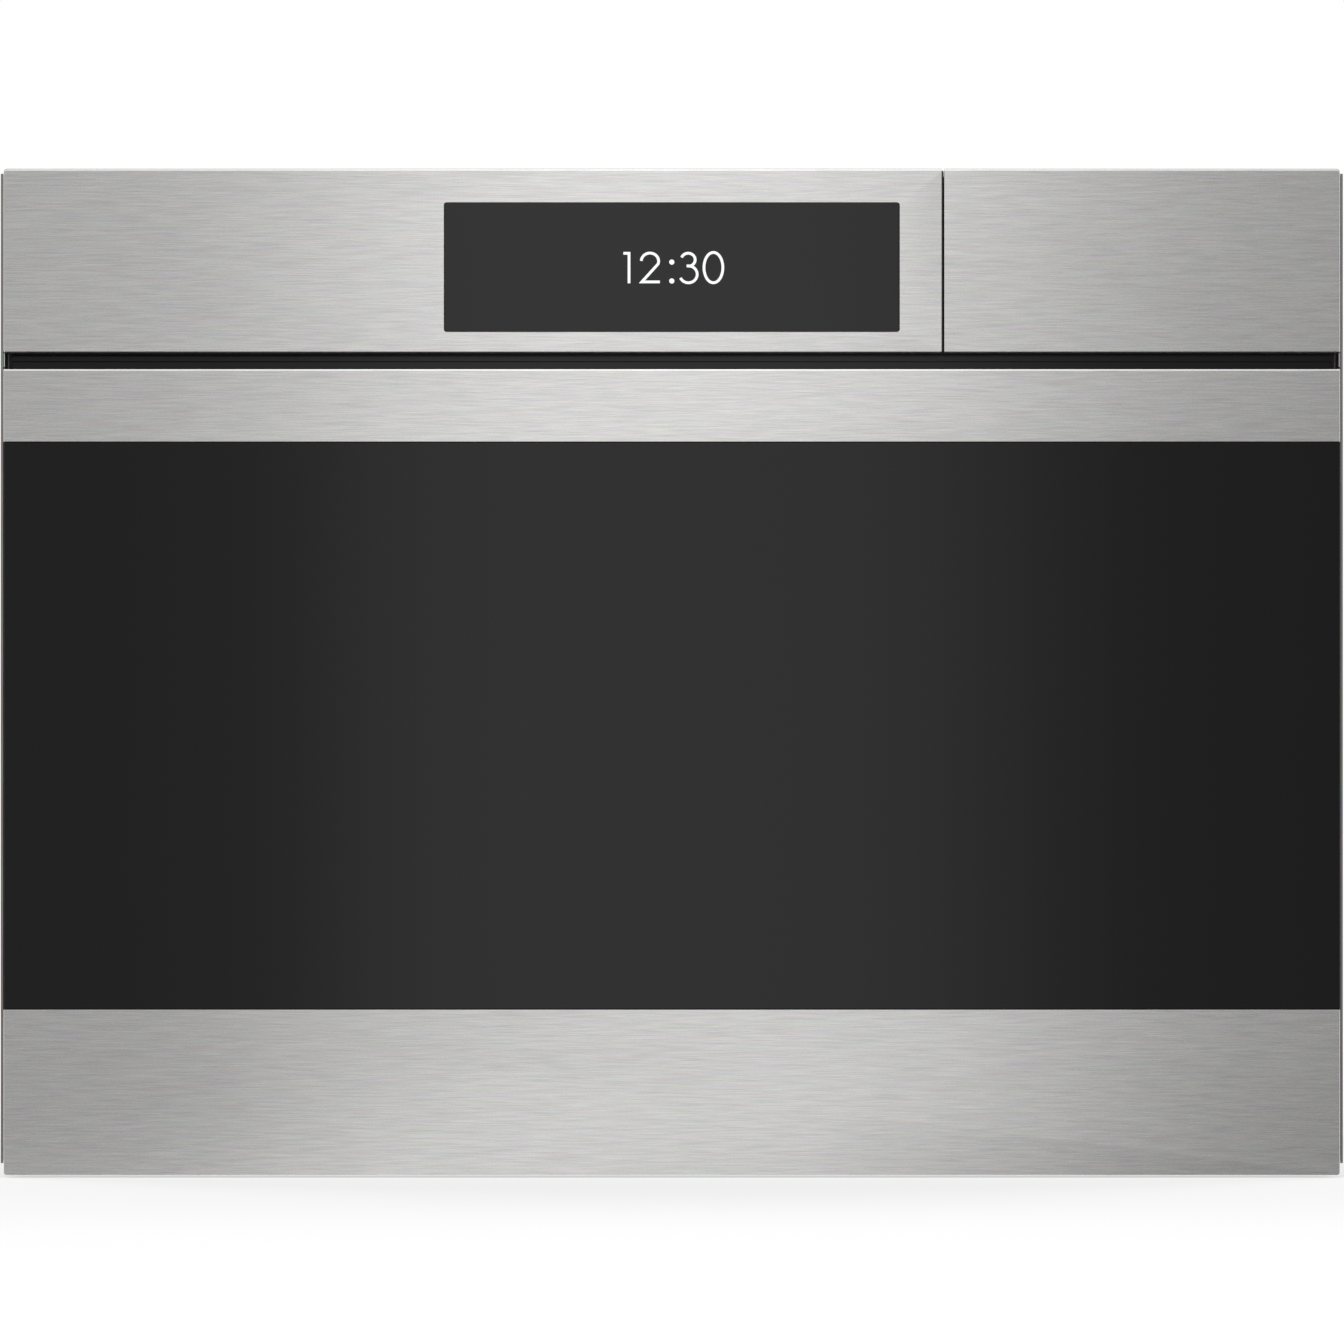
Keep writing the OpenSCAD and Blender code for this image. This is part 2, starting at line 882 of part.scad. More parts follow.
module casing_screws()
    placed("gainsboro")
        for (z = [screw_low, screw_high]) {
            both_sides()
                for (y = [step_y + screw_front, (step_y + rear_y) / 2, rear_y - screw_back])
                    rod_x(casing_hw, casing_hw + screw_head_h, y, z, screw_head_r);
            both_sides()
                for (x = [screw_mid, inner_hw - screw_side])
                    rod_y(x, rear_y, rear_y + screw_head_h, z, screw_head_r);
        }

// Duct over the cavity, under the shelf that spans the casing
module air_duct()
    placed("lightgray")
        difference() {
            union() {
                box_shell(-duct_hw, duct_hw, step_y, duct_back, duct_z, shelf_z, duct_t, false, true);
                wide(inner_hw - shelf_side_gap, step_y, rear_y - casing_t - shelf_back_gap, duct_top,
                     shelf_z);
            }
            wide(outlet_hw, blower_y - outlet_hl, blower_y + outlet_hl, duct_top - eps, shelf_z + eps,
                 blower_x);
            rod_z(vent_x, vent_y, duct_z - eps, duct_z + duct_t + eps, vent_r - vent_t);
        }

module cavity()
    placed("gainsboro")
        difference() {
            y0 = cavity_back - eps;
            y1 = cavity_back + cavity_t + eps;
            union() {
                wide(rim_hw, step_y, step_y + cavity_t, cavity_z - rim_w, cavity_top + rim_w);
                wide(cavity_hw + cavity_t, step_y, cavity_back + cavity_t,
                     cavity_z - cavity_t, cavity_top + cavity_t);
            }
            wide(cavity_hw, step_y - eps, cavity_back, cavity_z, cavity_top);
            rod_y(0, y0, y1, cavity_mid, shaft_r + shaft_room);
            both_sides()
                rod_y(leg_x, y0, y1, leg_z, heater_r + leg_gap);
            rod_y(nozzle_x, y0, y1, nozzle_z, nozzle_r + nozzle_gap);
            rod_y(sensor_x, y0, y1, sensor_z, sensor_r + sensor_gap);
            rod_y(vent_x, y0, y1, vent_z, vent_r - vent_t);
            rod_z(lamp_x, lamp_y, cavity_top - eps, cavity_top + cavity_t + eps, lamp_r + lamp_gap);
            rod_z(0, sump_y, cavity_z - cavity_t - eps, cavity_z + eps, sump_r);
        }

// Insulation round the cavity, with room for the flange of each fitting
module cavity_insulation()
    placed("khaki")
        difference() {
            y0 = cavity_back;
            y1 = cavity_back + cavity_t + wool_t + eps;
            room = fitting_over + fitting_room;
            wide(wool_hw, step_y + cavity_t + wool_front_gap, cavity_back + cavity_t + wool_t,
                 cavity_z - cavity_t - wool_t, cavity_top + cavity_t + wool_t);
            wide(cavity_hw + cavity_t + wool_gap, 0, cavity_back + cavity_t + wool_gap,
                 cavity_z - cavity_t - wool_gap, cavity_top + cavity_t + wool_gap);
            rod_y(0, y0, y1, cavity_mid, motor_hole_r);
            rod_y(nozzle_x, y0, y1, nozzle_z, nozzle_r + room);
            rod_y(sensor_x, y0, y1, sensor_z, sensor_r + room);
            rod_y(vent_x, y0, y1, vent_z, vent_r + room);
            rod_z(lamp_x, lamp_y, cavity_top, cavity_top + cavity_t + wool_t + eps, lamp_r + room);
            rod_z(0, sump_y, cavity_z - cavity_t - wool_t - eps, cavity_z, sump_r + room);
        }

// Flat-backed gasket: a lip that reaches forward from a foot on the cavity's rim
module seal_ring(grow, y0, y1)
    translate([0, y1, 0])
        rotate([90, 0, 0])
            linear_extrude(y1 - y0)
                difference() {
                    seal_outline(grow);
                    seal_outline(-grow);
                }

module seal_outline(grow) {
    hw = seal_hw + grow;
    z0 = seal_z0 - grow;
    z1 = seal_z1 + grow;
    r = seal_corner + grow;
    translate([-hw + r, z0])
        square([2 * (hw - r), z1 - z0]);
    translate([-hw, z0 + r])
        square([2 * hw, z1 - z0 - 2 * r]);
    for (side = [-1, 1], z = [z0 + r, z1 - r])
        translate([side * (hw - r), z])
            circle(r = r);
}

module door_seal()
    placed("darkslategray")
        union() {
            seal_ring(seal_r, seal_front, step_y);
            seal_ring(seal_r + seal_foot_grow, step_y - seal_foot, step_y);
        }

// One side's ladder: two uprights and a pair of rails at each level
module rack_support()
    union() {
        for (y = upright_y) {
            rod_z(upright_x, y, support_z, support_top, upright_r);
            for (z = [support_z + stub_inset, support_top - stub_inset])
                rod_x(upright_x, cavity_hw, y, z, upright_r);
        }
        for (level = [0 : level_n - 1], rise = [0, rail_gap]) {
            z = level_0 + level * level_pitch + rise;
            rod_y(rail_x, rail_y0, rail_y1, z, rail_r);
            for (y = upright_y)
                rod_x(rail_x, upright_x, y, z, rail_r);
        }
    }

module rack_support_left()
    placed("silver")
        mirror([1, 0, 0])
            rack_support();

module rack_support_right()
    placed("silver")
        rack_support();

module fan_baffle()
    placed("silver")
        difference() {
            box_shell(-baffle_hw, baffle_hw, baffle_y, cavity_back,
                      cavity_mid - baffle_hh, cavity_mid + baffle_hh, cavity_t, true, false);
            for (hole = grille)
                rod_y(hole[0] * cos(hole[1]), baffle_y - eps, baffle_y + cavity_t + eps,
                      cavity_mid + hole[0] * sin(hole[1]), grille_r);
            both_sides()
                for (i = [-side_slot_n : side_slot_n])
                    wide(cavity_t + eps, baffle_y + slot_end, cavity_back - slot_end,
                         cavity_mid + i * slot_pitch - slot_hh, cavity_mid + i * slot_pitch + slot_hh,
                         baffle_hw);
        }

module ring_heater()
    placed("darkslategray")
        union() {
            translate([0, heater_y, cavity_mid])
                rotate([90, 0, 0])
                    rotate([0, 0, leg_angles[1]])
                        rotate_extrude(angle = heater_arc, $fn = heater_facets)
                            translate([heater_ring_r, 0])
                                circle(r = heater_r);
            both_sides() {
                rod_y(leg_x, heater_y, cavity_back + leg_out, leg_z, heater_r);
                translate([leg_x, heater_y, leg_z])
                    sphere(r = heater_r + elbow_over);
            }
            wide(leg_x + heater_plate_side, cavity_back + cavity_t, cavity_back + cavity_t + fitting_t,
                 leg_z - heater_plate_hh, leg_z + heater_plate_hh);
        }

module fan_motor()
    placed("dimgray")
        difference() {
            union() {
                rod_y(0, motor_y, motor_y + motor_plate_t, cavity_mid, motor_r + motor_plate_over);
                for (angle = [45 : 90 : 315])
                    rod_y(post_at * cos(angle), cavity_back + cavity_t, motor_y + eps,
                          cavity_mid + post_at * sin(angle), post_r);
                rod_y(0, motor_y, motor_y + motor_l, cavity_mid, motor_r);
                rod_y(0, motor_y - bearing_l, motor_y + eps, cavity_mid, hub_r);
            }
            rod_y(0, motor_y - bearing_l - eps, motor_y + bearing_bore, cavity_mid, shaft_r + run_gap);
        }

module steam_generator()
    placed("silver")
        difference() {
            union() {
                rod_z(generator_x, generator_mid, generator_z, generator_z + generator_h, generator_r);
                wide(bracket_hw, rear_y - casing_t - bracket_t, rear_y - casing_t,
                     generator_z + bracket_up, generator_z + bracket_up + bracket_h, generator_x);
                wide(boss_hw, generator_y, generator_mid, nozzle_z - boss_hh, nozzle_z + boss_hh, nozzle_x);
            }
            rod_y(nozzle_x, generator_y - eps, generator_mid, nozzle_z, nozzle_r - pipe_t);
        }

module steam_pipe()
    placed("silver")
        difference() {
            union() {
                rod_y(nozzle_x, cavity_back - nozzle_reach, generator_y, nozzle_z, nozzle_r);
                rod_y(nozzle_x, cavity_back + cavity_t, cavity_back + cavity_t + fitting_t,
                      nozzle_z, nozzle_r + fitting_over);
            }
            rod_y(nozzle_x, cavity_back - nozzle_reach - eps, generator_y + eps, nozzle_z,
                  nozzle_r - pipe_t);
        }

// Pump behind the tank bay, with the socket that the tank's outlet plugs into
module water_pump()
    placed("dimgray")
        difference() {
            y0 = bay_y1 + pump_gap;
            union() {
                wide(pump_hw, y0, y0 + pump_l, shelf_z, shelf_z + pump_h, bay_x - pump_off);
                rod_y(bay_x, tank_y1 + pipe_start, bay_y1 + pump_gap + pipe_in, outlet_z, outlet_r);
                rod_y(bay_x, tank_y1 + socket_gap, bay_y1 - bay_t, outlet_z, outlet_r + socket_wall);
            }
            rod_y(bay_x, tank_y1, tank_y1 + outlet_reach + socket_end, outlet_z, outlet_r + socket_room);
            rod_y(bay_x, tank_y1, bay_y1 + bore_end, outlet_z, outlet_r - outlet_wall);
        }

module drain_sump()
    placed("silver")
        difference() {
            z1 = cavity_z - cavity_t;
            union() {
                rod_z(0, sump_y, sump_z, z1, sump_r + sump_t);
                rod_z(0, sump_y, z1 - fitting_t, z1, sump_r + fitting_over);
                rod_y(0, sump_y, generator_mid, drain_z, drain_r);
            }
            rod_z(0, sump_y, sump_z + sump_bottom_t, cavity_z, sump_r);
            rod_y(0, sump_y, generator_mid + eps, drain_z, drain_r - drain_t);
        }

module oven_lamp()
    placed("silver")
        difference() {
            z0 = cavity_top + cavity_t;
            top = z0 + wool_t - lamp_short;
            union() {
                rod_z(lamp_x, lamp_y, z0, z0 + fitting_t, lamp_r + fitting_over);
                rod_z(lamp_x, lamp_y, z0, top, lamp_r + lamp_gap + lamp_wall);
            }
            rod_z(lamp_x, lamp_y, cavity_top, top - lamp_wall, lamp_r + lamp_gap);
        }

module lamp_lens()
    placed("whitesmoke")
        union() {
            rod_z(lamp_x, lamp_y, cavity_top - lens_t, cavity_top, lamp_r + lens_over);
            rod_z(lamp_x, lamp_y, cavity_top - lens_t, cavity_top + cavity_t + lens_plug, lamp_r);
        }

module temperature_sensor()
    placed("silver")
        union() {
            rod_y(sensor_x, cavity_back - sensor_reach, cavity_back + sensor_out, sensor_z, sensor_r);
            rod_y(sensor_x, cavity_back + cavity_t, cavity_back + cavity_t + fitting_t,
                  sensor_z, sensor_r + fitting_over);
        }

module vent_duct()
    placed("lightgray")
        difference() {
            union() {
                rod_y(vent_x, cavity_back + cavity_t, vent_y, vent_z, vent_r);
                rod_y(vent_x, cavity_back + cavity_t, cavity_back + cavity_t + fitting_t,
                      vent_z, vent_r + fitting_over);
                translate([vent_x, vent_y, vent_z])
                    sphere(r = vent_r);
                rod_z(vent_x, vent_y, vent_z, duct_z, vent_r);
            }
            rod_y(vent_x, cavity_back, vent_y, vent_z, vent_r - vent_t);
            translate([vent_x, vent_y, vent_z])
                sphere(r = vent_r - vent_t);
            rod_z(vent_x, vent_y, vent_z, duct_z + eps, vent_r - vent_t);
            rod_x(vent_x - vent_r - eps, vent_x + vent_r + eps, damper_y, vent_z, damper_axle_r + run_gap);
        }

module fascia_carrier()
    placed("dimgray")
        difference() {
            slab(-carrier_hw, carrier_x1, sheet_t, flange_y, carrier_z0, carrier_z1);
            slab(-carrier_hw + carrier_t, carrier_x1 - carrier_t, 0, display_back,
                 carrier_z0 + carrier_t, carrier_z1 - carrier_t);
            slab(-carrier_hw + carrier_t, carrier_x1 - carrier_t, display_back + carrier_t, flange_y + eps,
                 carrier_z0 + carrier_t, carrier_z1 - carrier_t);
            wide(display_w / 2 - display_ledge, 0, flange_y, display_z + display_ledge,
                 display_z + display_h - display_ledge);
        }

// Folded steel pan: front skin with all four edges turned back
module folded_front(x0, x1, z0, z1, fold)
    box_shell(x0, x1, 0, fold, z0, z1, sheet_t, true, false);

module control_fascia()
    placed("silver")
        difference() {
            folded_front(-panel_hw, split_x - split_gap, fascia_z, front_top, fascia_fold);
            wide(display_w / 2 + display_gap, -eps, sheet_t + eps, display_z - display_gap,
                 display_z + display_h + display_gap);
        }

module display_glass()
    placed("black")
        wide(display_w / 2, glue_gap, display_back, display_z, display_z + display_h);

module display_module()
    placed("darkgreen")
        union() {
            inset = display_ledge + module_side;
            wide(display_w / 2 - inset, display_back + module_gap, display_back + module_l,
                 display_z + inset, display_z + display_h - inset);
            wide(display_w / 2 - module_board_inset, module_board_y, module_board_y + module_board_t,
                 display_z + module_board_edge, display_z + display_h - module_board_edge);
            both_sides()
                for (z = [display_z + module_post_edge, display_z + display_h - module_post_edge])
                    rod_y(display_w / 2 - module_post_inset, display_back + carrier_t,
                          display_back + carrier_t + module_post_l, z, module_post_r);
        }

module control_board()
    placed("darkgreen")
        union() {
            slab(board_x, board_x + board_w, board_y, board_y + board_l, board_z, board_top);
            for (x = [board_x + board_post_inset, board_x + board_w - board_post_inset])
                for (y = [board_y + board_post_inset, board_y + board_l - board_post_inset])
                    rod_z(x, y, shelf_z, board_top, board_post_r);
            for (i = [0 : relay_n - 1])
                slab(relay_x, relay_x + relay_w, relay_y + i * relay_pitch,
                     relay_y + relay_l + i * relay_pitch,
                     board_z, board_top + relay_h);
            slab(transformer_x, transformer_x + transformer_w, transformer_y, transformer_y + transformer_l,
                 board_z, board_z + transformer_h);
            for (x = [capacitor_x, capacitor_x + capacitor_pitch])
                rod_z(x, capacitor_y, board_z, board_z + capacitor_h, capacitor_r);
        }

module blower_housing()
    placed("lightgray")
        difference() {
            rod_z(blower_x, blower_y, shelf_z, shelf_z + blower_h, blower_r);
            rod_z(blower_x, blower_y, shelf_z + blower_t, shelf_z + blower_h - blower_t,
                  blower_r - blower_t);
            rod_z(blower_x, blower_y, shelf_z + blower_t, shelf_z + blower_h + eps,
                  blower_r * blower_mouth);
            wide(outlet_hw, blower_y - outlet_hl, blower_y + outlet_hl, shelf_z - eps,
                 shelf_z + blower_t + eps,
                 blower_x);
        }

module blower_motor()
    placed("dimgray")
        difference() {
            top = shelf_z + blower_h;
            union() {
                rod_z(blower_x, blower_y, top + blower_motor_gap, bay_top - blower_motor_top,
                      blower_motor_r);
                for (angle = [90, 210, 330])
                    translate([blower_x, blower_y, top])
                        rotate([0, 0, angle]) {
                            slab(spider_start, blower_r - spider_end, -spider_hw, spider_hw,
                                 blower_motor_gap, blower_motor_gap + spider_t);
                            slab(blower_r - spider_end - spider_foot, blower_r - spider_end,
                                 -spider_hw, spider_hw,
                                 0, blower_motor_gap + spider_t);
                        }
            }
            rod_z(blower_x, blower_y, shelf_z, top + spindle_over + spindle_room, spindle_r + run_gap);
        }

module terminal_box()
    placed("darkslategray")
        difference() {
            union() {
                box_shell(terminal_x - terminal_hw, terminal_x + terminal_hw, rear_y, depth - gland_l,
                          terminal_z - terminal_hh, terminal_z + terminal_hh, terminal_t, false, true);
                rod_y(terminal_x, depth - gland_l - terminal_t, depth, terminal_z, gland_r);
            }
            rod_y(terminal_x, rear_y, depth + eps, terminal_z, gland_bore);
        }

// Arm that stands out of the chassis and carries the door's pivot in its round nose
module hinge_arm()
    difference() {
        union() {
            y1 = step_y + arm_l;
            rod_x(hinge_x - arm_t / 2, hinge_x + arm_t / 2, hinge_y, pivot_z, arm_r);
            wide(arm_t / 2, hinge_y, step_y + arm_root + eps, pivot_z - arm_r, pivot_z + arm_r, hinge_x);
            wide(arm_t / 2, step_y + arm_root, y1, base_z, pivot_z + arm_rise, hinge_x);
            slab(hinge_x, inner_hw, step_y + arm_foot_start, y1 - arm_foot_end, base_z,
                 pivot_z + arm_foot_rise);
            rod_x(spring_x - stud_over, hinge_x, stud_y, spring_z, stud_r);
        }
        rod_x(hinge_x - arm_t, hinge_x + arm_t, hinge_y, pivot_z, pin_r + run_gap);
    }

module hinge_arm_left()
    placed("silver")
        mirror([1, 0, 0])
            hinge_arm();

module hinge_arm_right()
    placed("silver")
        hinge_arm();

module hinge_springs()
    placed("dimgray")
        both_sides()
            difference() {
                y1 = step_y + arm_l - spring_end;
                union() {
                    rod_y(spring_x, step_y + arm_root, y1, spring_z, spring_r);
                    rod_y(spring_x, y1 - eps, stud_y - stud_r - stud_gap, spring_z, stud_r);
                }
                rod_y(spring_x, step_y + arm_root - eps, y1 - 2 * spring_t, spring_z, spring_r - spring_t);
            }

module door_opener()
    placed("dimgray")
        difference() {
            y1 = rod_tip + rod_l + rod_bore_end;
            wide(push_body_hw, step_y, y1 + rod_wall, push_z - push_body_down, push_z + push_body_up,
                 opener_x);
            rod_y(opener_x, step_y - eps, y1, push_z, rod_r + rod_gap);
        }

module opener_rod()
    placed("gainsboro")
        union() {
            rod_y(opener_x, rod_tip, rod_tip + rod_l, push_z, rod_r);
            rod_y(opener_x, rod_tip, rod_tip + rod_cap_t, push_z, rod_r + rod_cap_over);
        }

module door_switch()
    placed("dimgray")
        difference() {
            y1 = rod_tip + plunger_l + rod_bore_end;
            wide(push_body_hw, step_y, y1 + plunger_wall, push_z - push_body_down, push_z + push_body_up,
                 switch_x);
            rod_y(switch_x, step_y - eps, y1, push_z, plunger_r + run_gap);
        }

module switch_plunger()
    placed("whitesmoke")
        union() {
            rod_y(switch_x, rod_tip, rod_tip + plunger_l, push_z, plunger_r);
            rod_y(switch_x, rod_tip, rod_tip + plunger_cap_t, push_z, plunger_r + plunger_cap_over);
        }

module tank_bay()
    placed("gray")
        difference() {
            union() {
                wide(bay_hw + bay_t, step_y, bay_y1, bay_z, bay_top, bay_x);
                for (y = [step_y + bay_foot_l, bay_y1 - bay_foot_end])
                    wide(bay_hw - bay_foot_side, y, y + bay_foot_l, shelf_z, bay_z, bay_x);
            }
            wide(bay_hw, step_y - eps, bay_y1 - bay_t, bay_floor, bay_top - bay_t, bay_x);
            rod_y(bay_x, bay_y1 - bay_t - eps, bay_y1 + eps, outlet_z, outlet_r + bay_pipe_gap);
        }

// Channel that lies along the drawer and opens towards its middle or away from it
module channel(web_in, web_out, lip_to) {
    slab(web_in, web_out, runner_y, runner_y1, runner_z, runner_z + runner_h);
    lip0 = min(web_in, lip_to);
    lip1 = max(web_out, lip_to);
    for (z = [runner_z, runner_z + runner_h - runner_t])
        slab(lip0, lip1, runner_y, runner_y1, z, z + runner_t);
}

// Draws the children on both sides of the drawer's middle plane
module drawer_sides()
    translate([bay_x, 0, 0])
        both_sides()
            children();

module runner_outer()
    placed("silver")
        drawer_sides()
            channel(bay_hw - runner_t, bay_hw, outer_in);

module runner_middle()
    placed("gainsboro")
        drawer_sides()
            slab(bar_in, bar_out, runner_y, runner_y1, bar_z, bar_z + bar_h);

module drawer_carriage()
    placed("dimgray")
        union() {
            wide(carriage_web, fascia_fold, tank_y1 + carriage_end, carriage_z, tank_z, bay_x);
            wide(carriage_web, fascia_fold, fascia_fold + carriage_t, carriage_z, carriage_top, bay_x);
            drawer_sides() {
                slab(carriage_in, carriage_web, fascia_fold, runner_y1, carriage_z, runner_z + runner_h);
                channel(carriage_in, carriage_web, carriage_out);
            }
        }

module drawer_front()
    placed("silver")
        union() {
            folded_front(split_x, panel_hw, fascia_z, front_top, fascia_fold);
            drawer_sides()
                wide(front_rib_hw, sheet_t / 2, fascia_fold, carriage_z, carriage_top,
                     tank_hw - front_rib_inset);
        }

module water_tank()
    placed("lightsteelblue")
        difference() {
            z0 = tank_z + rest_gap;
            union() {
                wide(tank_hw, tank_y, tank_y1, z0, tank_top, bay_x);
                rod_y(bay_x, tank_y1 - tank_t, tank_y1 + outlet_reach, outlet_z, outlet_r);
            }
            wide(tank_hw - tank_t, tank_y + tank_t, tank_y1 - tank_t, z0 + tank_t, tank_top + eps, bay_x);
            rod_y(bay_x, tank_y1 - tank_t - eps, tank_y1 + outlet_reach + eps, outlet_z,
                  outlet_r - outlet_wall);
        }

module tank_lid()
    placed("dimgray")
        difference() {
            wide(tank_hw, tank_y, tank_y1, tank_top, tank_top + lid_t, bay_x);
            wide(fill_hw, tank_y + fill_front, tank_y + fill_front + fill_l, tank_top - eps,
                 tank_top + lid_t + eps, bay_x);
        }

module fan_wheel()
    placed("silver")
        difference() {
            union() {
                rod_y(0, fan_back_y, fan_back_y + fan_t, cavity_mid, fan_r);
                rod_y(0, nut_y + hub_short, fan_back_y + fan_t, cavity_mid, hub_r);
                for (i = [0 : fan_n - 1])
                    translate([0, nut_y, cavity_mid])
                        rotate([0, 360 * i / fan_n, 0])
                            slab(fan_r * blade_start, fan_r - blade_edge, 0, fan_w + fan_t / 2,
                                 -blade_t / 2, blade_t / 2);
            }
            rod_y(0, nut_y, fan_back_y + fan_t + eps, cavity_mid, shaft_r);
        }

module fan_shaft()
    placed("gainsboro")
        union() {
            rod_y(0, nut_y, motor_y + shaft_end, cavity_mid, shaft_r);
            translate([0, nut_y + nut_start, cavity_mid])
                rotate([-90, 0, 0])
                    cylinder(r = shaft_r + nut_over, h = hub_short - nut_start, $fn = 6);
        }

module blower_wheel()
    placed("dimgray")
        union() {
            rod_z(blower_x, blower_y, impeller_z, impeller_z + impeller_t, impeller_r);
            rod_z(blower_x, blower_y, impeller_z, impeller_z + impeller_h, impeller_hub_r);
            rod_z(blower_x, blower_y, impeller_z, shelf_z + blower_h + spindle_over, spindle_r);
            for (i = [0 : impeller_n - 1])
                translate([blower_x, blower_y, impeller_z])
                    rotate([0, 0, 360 * i / impeller_n])
                        slab(impeller_r - impeller_edge - impeller_blade, impeller_r - impeller_edge,
                             -blade_t / 2, blade_t / 2, impeller_t / 2, impeller_h);
        }

module vent_damper()
    placed("silver")
        union() {
            rod_y(vent_x, damper_y - damper_t / 2, damper_y + damper_t / 2, vent_z,
                  vent_r - vent_t - damper_gap);
            rod_x(vent_x - vent_r - damper_axle_over, vent_x + vent_r + damper_axle_over, damper_y, vent_z,
                  damper_axle_r);
        }

function level_z(level) = level_0 + level * level_pitch + rail_r + rest_gap;

module wire_rack()
    placed("silver") {
        z = level_z(rack_level) + rack_r;
        hw = tray_hw - rack_r - rack_side_gap;
        y0 = tray_y0 + rack_r;
        y1 = tray_y1 - rack_r;
        union() {
            both_sides()
                rod_y(hw, y0 + rack_corner, y1 - rack_corner, z, rack_r);
            for (y = [y0, y1])
                rod_x(-hw + rack_corner, hw - rack_corner, y, z, rack_r);
            translate([0, (y0 + y1) / 2, z])
                for (flip = [0, 1])
                    mirror([0, flip, 0])
                        both_sides()
                            translate([hw - rack_corner, (y1 - y0) / 2 - rack_corner, 0])
                                rotate_extrude(angle = 90)
                                    translate([rack_corner, 0])
                                        circle(r = rack_r);
            for (i = [1 : wire_n])
                rod_y(-hw + 2 * hw * i / (wire_n + 1), y0, y1, z, wire_r);
            for (k = [1 : brace_n])
                rod_x(-hw, hw, y0 + (y1 - y0) * k / (brace_n + 1), z, wire_r + brace_over);
        }
    }

// Tray with a flat rim that hangs on the rails of one level
module tray(level)
    difference() {
        z0 = level_z(level);
        union() {
            wide(tray_hw, tray_y0, tray_y1, z0, z0 + pan_t);
            wide(tray_hw - pan_rim, tray_y0 + pan_rim, tray_y1 - pan_rim, z0 + pan_t - pan_drop,
                 z0 + pan_t);
        }
        wide(tray_hw - pan_rim - pan_t, tray_y0 + pan_rim + pan_t, tray_y1 - pan_rim - pan_t,
             z0 + 2 * pan_t - pan_drop, z0 + pan_t + eps);
    }

module perforated_pan()
    placed("silver")
        difference() {
            z0 = level_z(pan_level) - pan_drop;
            tray(pan_level);
            for (i = [0 : hole_nx - 1], j = [0 : hole_ny - 1])
                rod_z(-hole_hw + 2 * hole_hw * i / (hole_nx - 1),
                      hole_y0 + (hole_y1 - hole_y0) * j / (hole_ny - 1),
                      z0, z0 + 2 * pan_t + eps, hole_r);
        }

module solid_pan()
    placed("silver")
        tray(tray_level);

module sump_strainer()
    placed("silver")
        difference() {
            z0 = cavity_z + rest_gap;
            union() {
                rod_z(0, sump_y, z0, z0 + strainer_t, sump_r + strainer_over);
                rod_z(0, sump_y, cavity_z - strainer_depth, z0 + strainer_t / 2, sump_r - strainer_gap);
                rod_z(0, sump_y, z0, z0 + strainer_knob_h, strainer_knob_r);
            }
            rod_z(0, sump_y, cavity_z - strainer_depth - eps, z0, sump_r - strainer_gap - strainer_wall);
            for (i = [0 : strainer_hole_n - 1])
                rod_z(strainer_hole_at * cos(360 * i / strainer_hole_n),
                      sump_y + strainer_hole_at * sin(360 * i / strainer_hole_n),
                      z0 - eps, z0 + strainer_t + eps, strainer_hole_r);
        }

// Folded door strip: a skin with its upper, lower and end edges turned back to the pane
module door_strip(z0, z1) {
    wide(panel_hw, 0, sheet_t, z0, z1);
    for (z = [z0, z1 - sheet_t])
        wide(panel_hw, 0, pane_y, z, z + sheet_t);
    both_sides()
        slab(panel_hw - sheet_t, panel_hw, 0, pane_y, z0, z1);
}

module door_top_trim()
    placed("silver")
        union() {
            door_strip(strip_z, door_top);
            wide(panel_hw, 0, door_t - ledge_gap, door_top - sheet_t, door_top);
        }

module door_bottom_trim()
    placed("silver")
        door_strip(door_z, glass_z);

module door_outer_glass()
    placed("black")
        wide(panel_hw - pane_edge_gap, glue_gap, pane_y, glass_z + pane_edge_gap, strip_z - pane_edge_gap);

module door_middle_glass()
    placed("lightcyan")
        wide(window_hw + frame_t + middle_pane_over, middle_pane_y, middle_pane_y + pane_t,
             window_z - frame_t - middle_pane_over, window_top + frame_t + middle_pane_over);

module door_inner_glass()
    placed("lightcyan")
        wide(inner_pane_hw, inner_pane_y, door_t, inner_pane_z, inner_pane_top);

module door_frame()
    placed("dimgray")
        difference() {
            union() {
                difference() {
                    wide(door_body_hw, pane_y, frame_back, frame_z, frame_top);
                    wide(door_body_hw - frame_t, pane_y + frame_t, frame_plate_y,
                         frame_z + frame_t, frame_top - frame_t);
                }
                wide(window_hw + frame_t, pane_y, middle_pane_y, window_z - frame_t, window_top + frame_t);
            }
            wide(window_hw, 0, middle_pane_y + eps, window_z, window_top);
            wide(inner_pane_hw - pane_ledge, middle_pane_y, door_t, inner_pane_z + pane_ledge,
                 inner_pane_top - pane_ledge);
            wide(inner_pane_hw + pane_side_gap, inner_pane_y, door_t, inner_pane_z - pane_side_gap,
                 inner_pane_top + pane_side_gap);
            both_sides()
                wide(notch_hw, 0, door_t, 0, notch_top, hinge_x);
        }

module glass_retainers()
    placed("dimgray")
        both_sides() {
            slab(window_hw, window_hw + retainer_l, door_t, door_t + sheet_t,
                 inner_pane_top - retainer_lap, inner_pane_top + retainer_lap);
            slab(window_hw, window_hw + retainer_l, frame_back, door_t + sheet_t,
                 inner_pane_top + pane_side_gap, inner_pane_top + retainer_lap);
        }

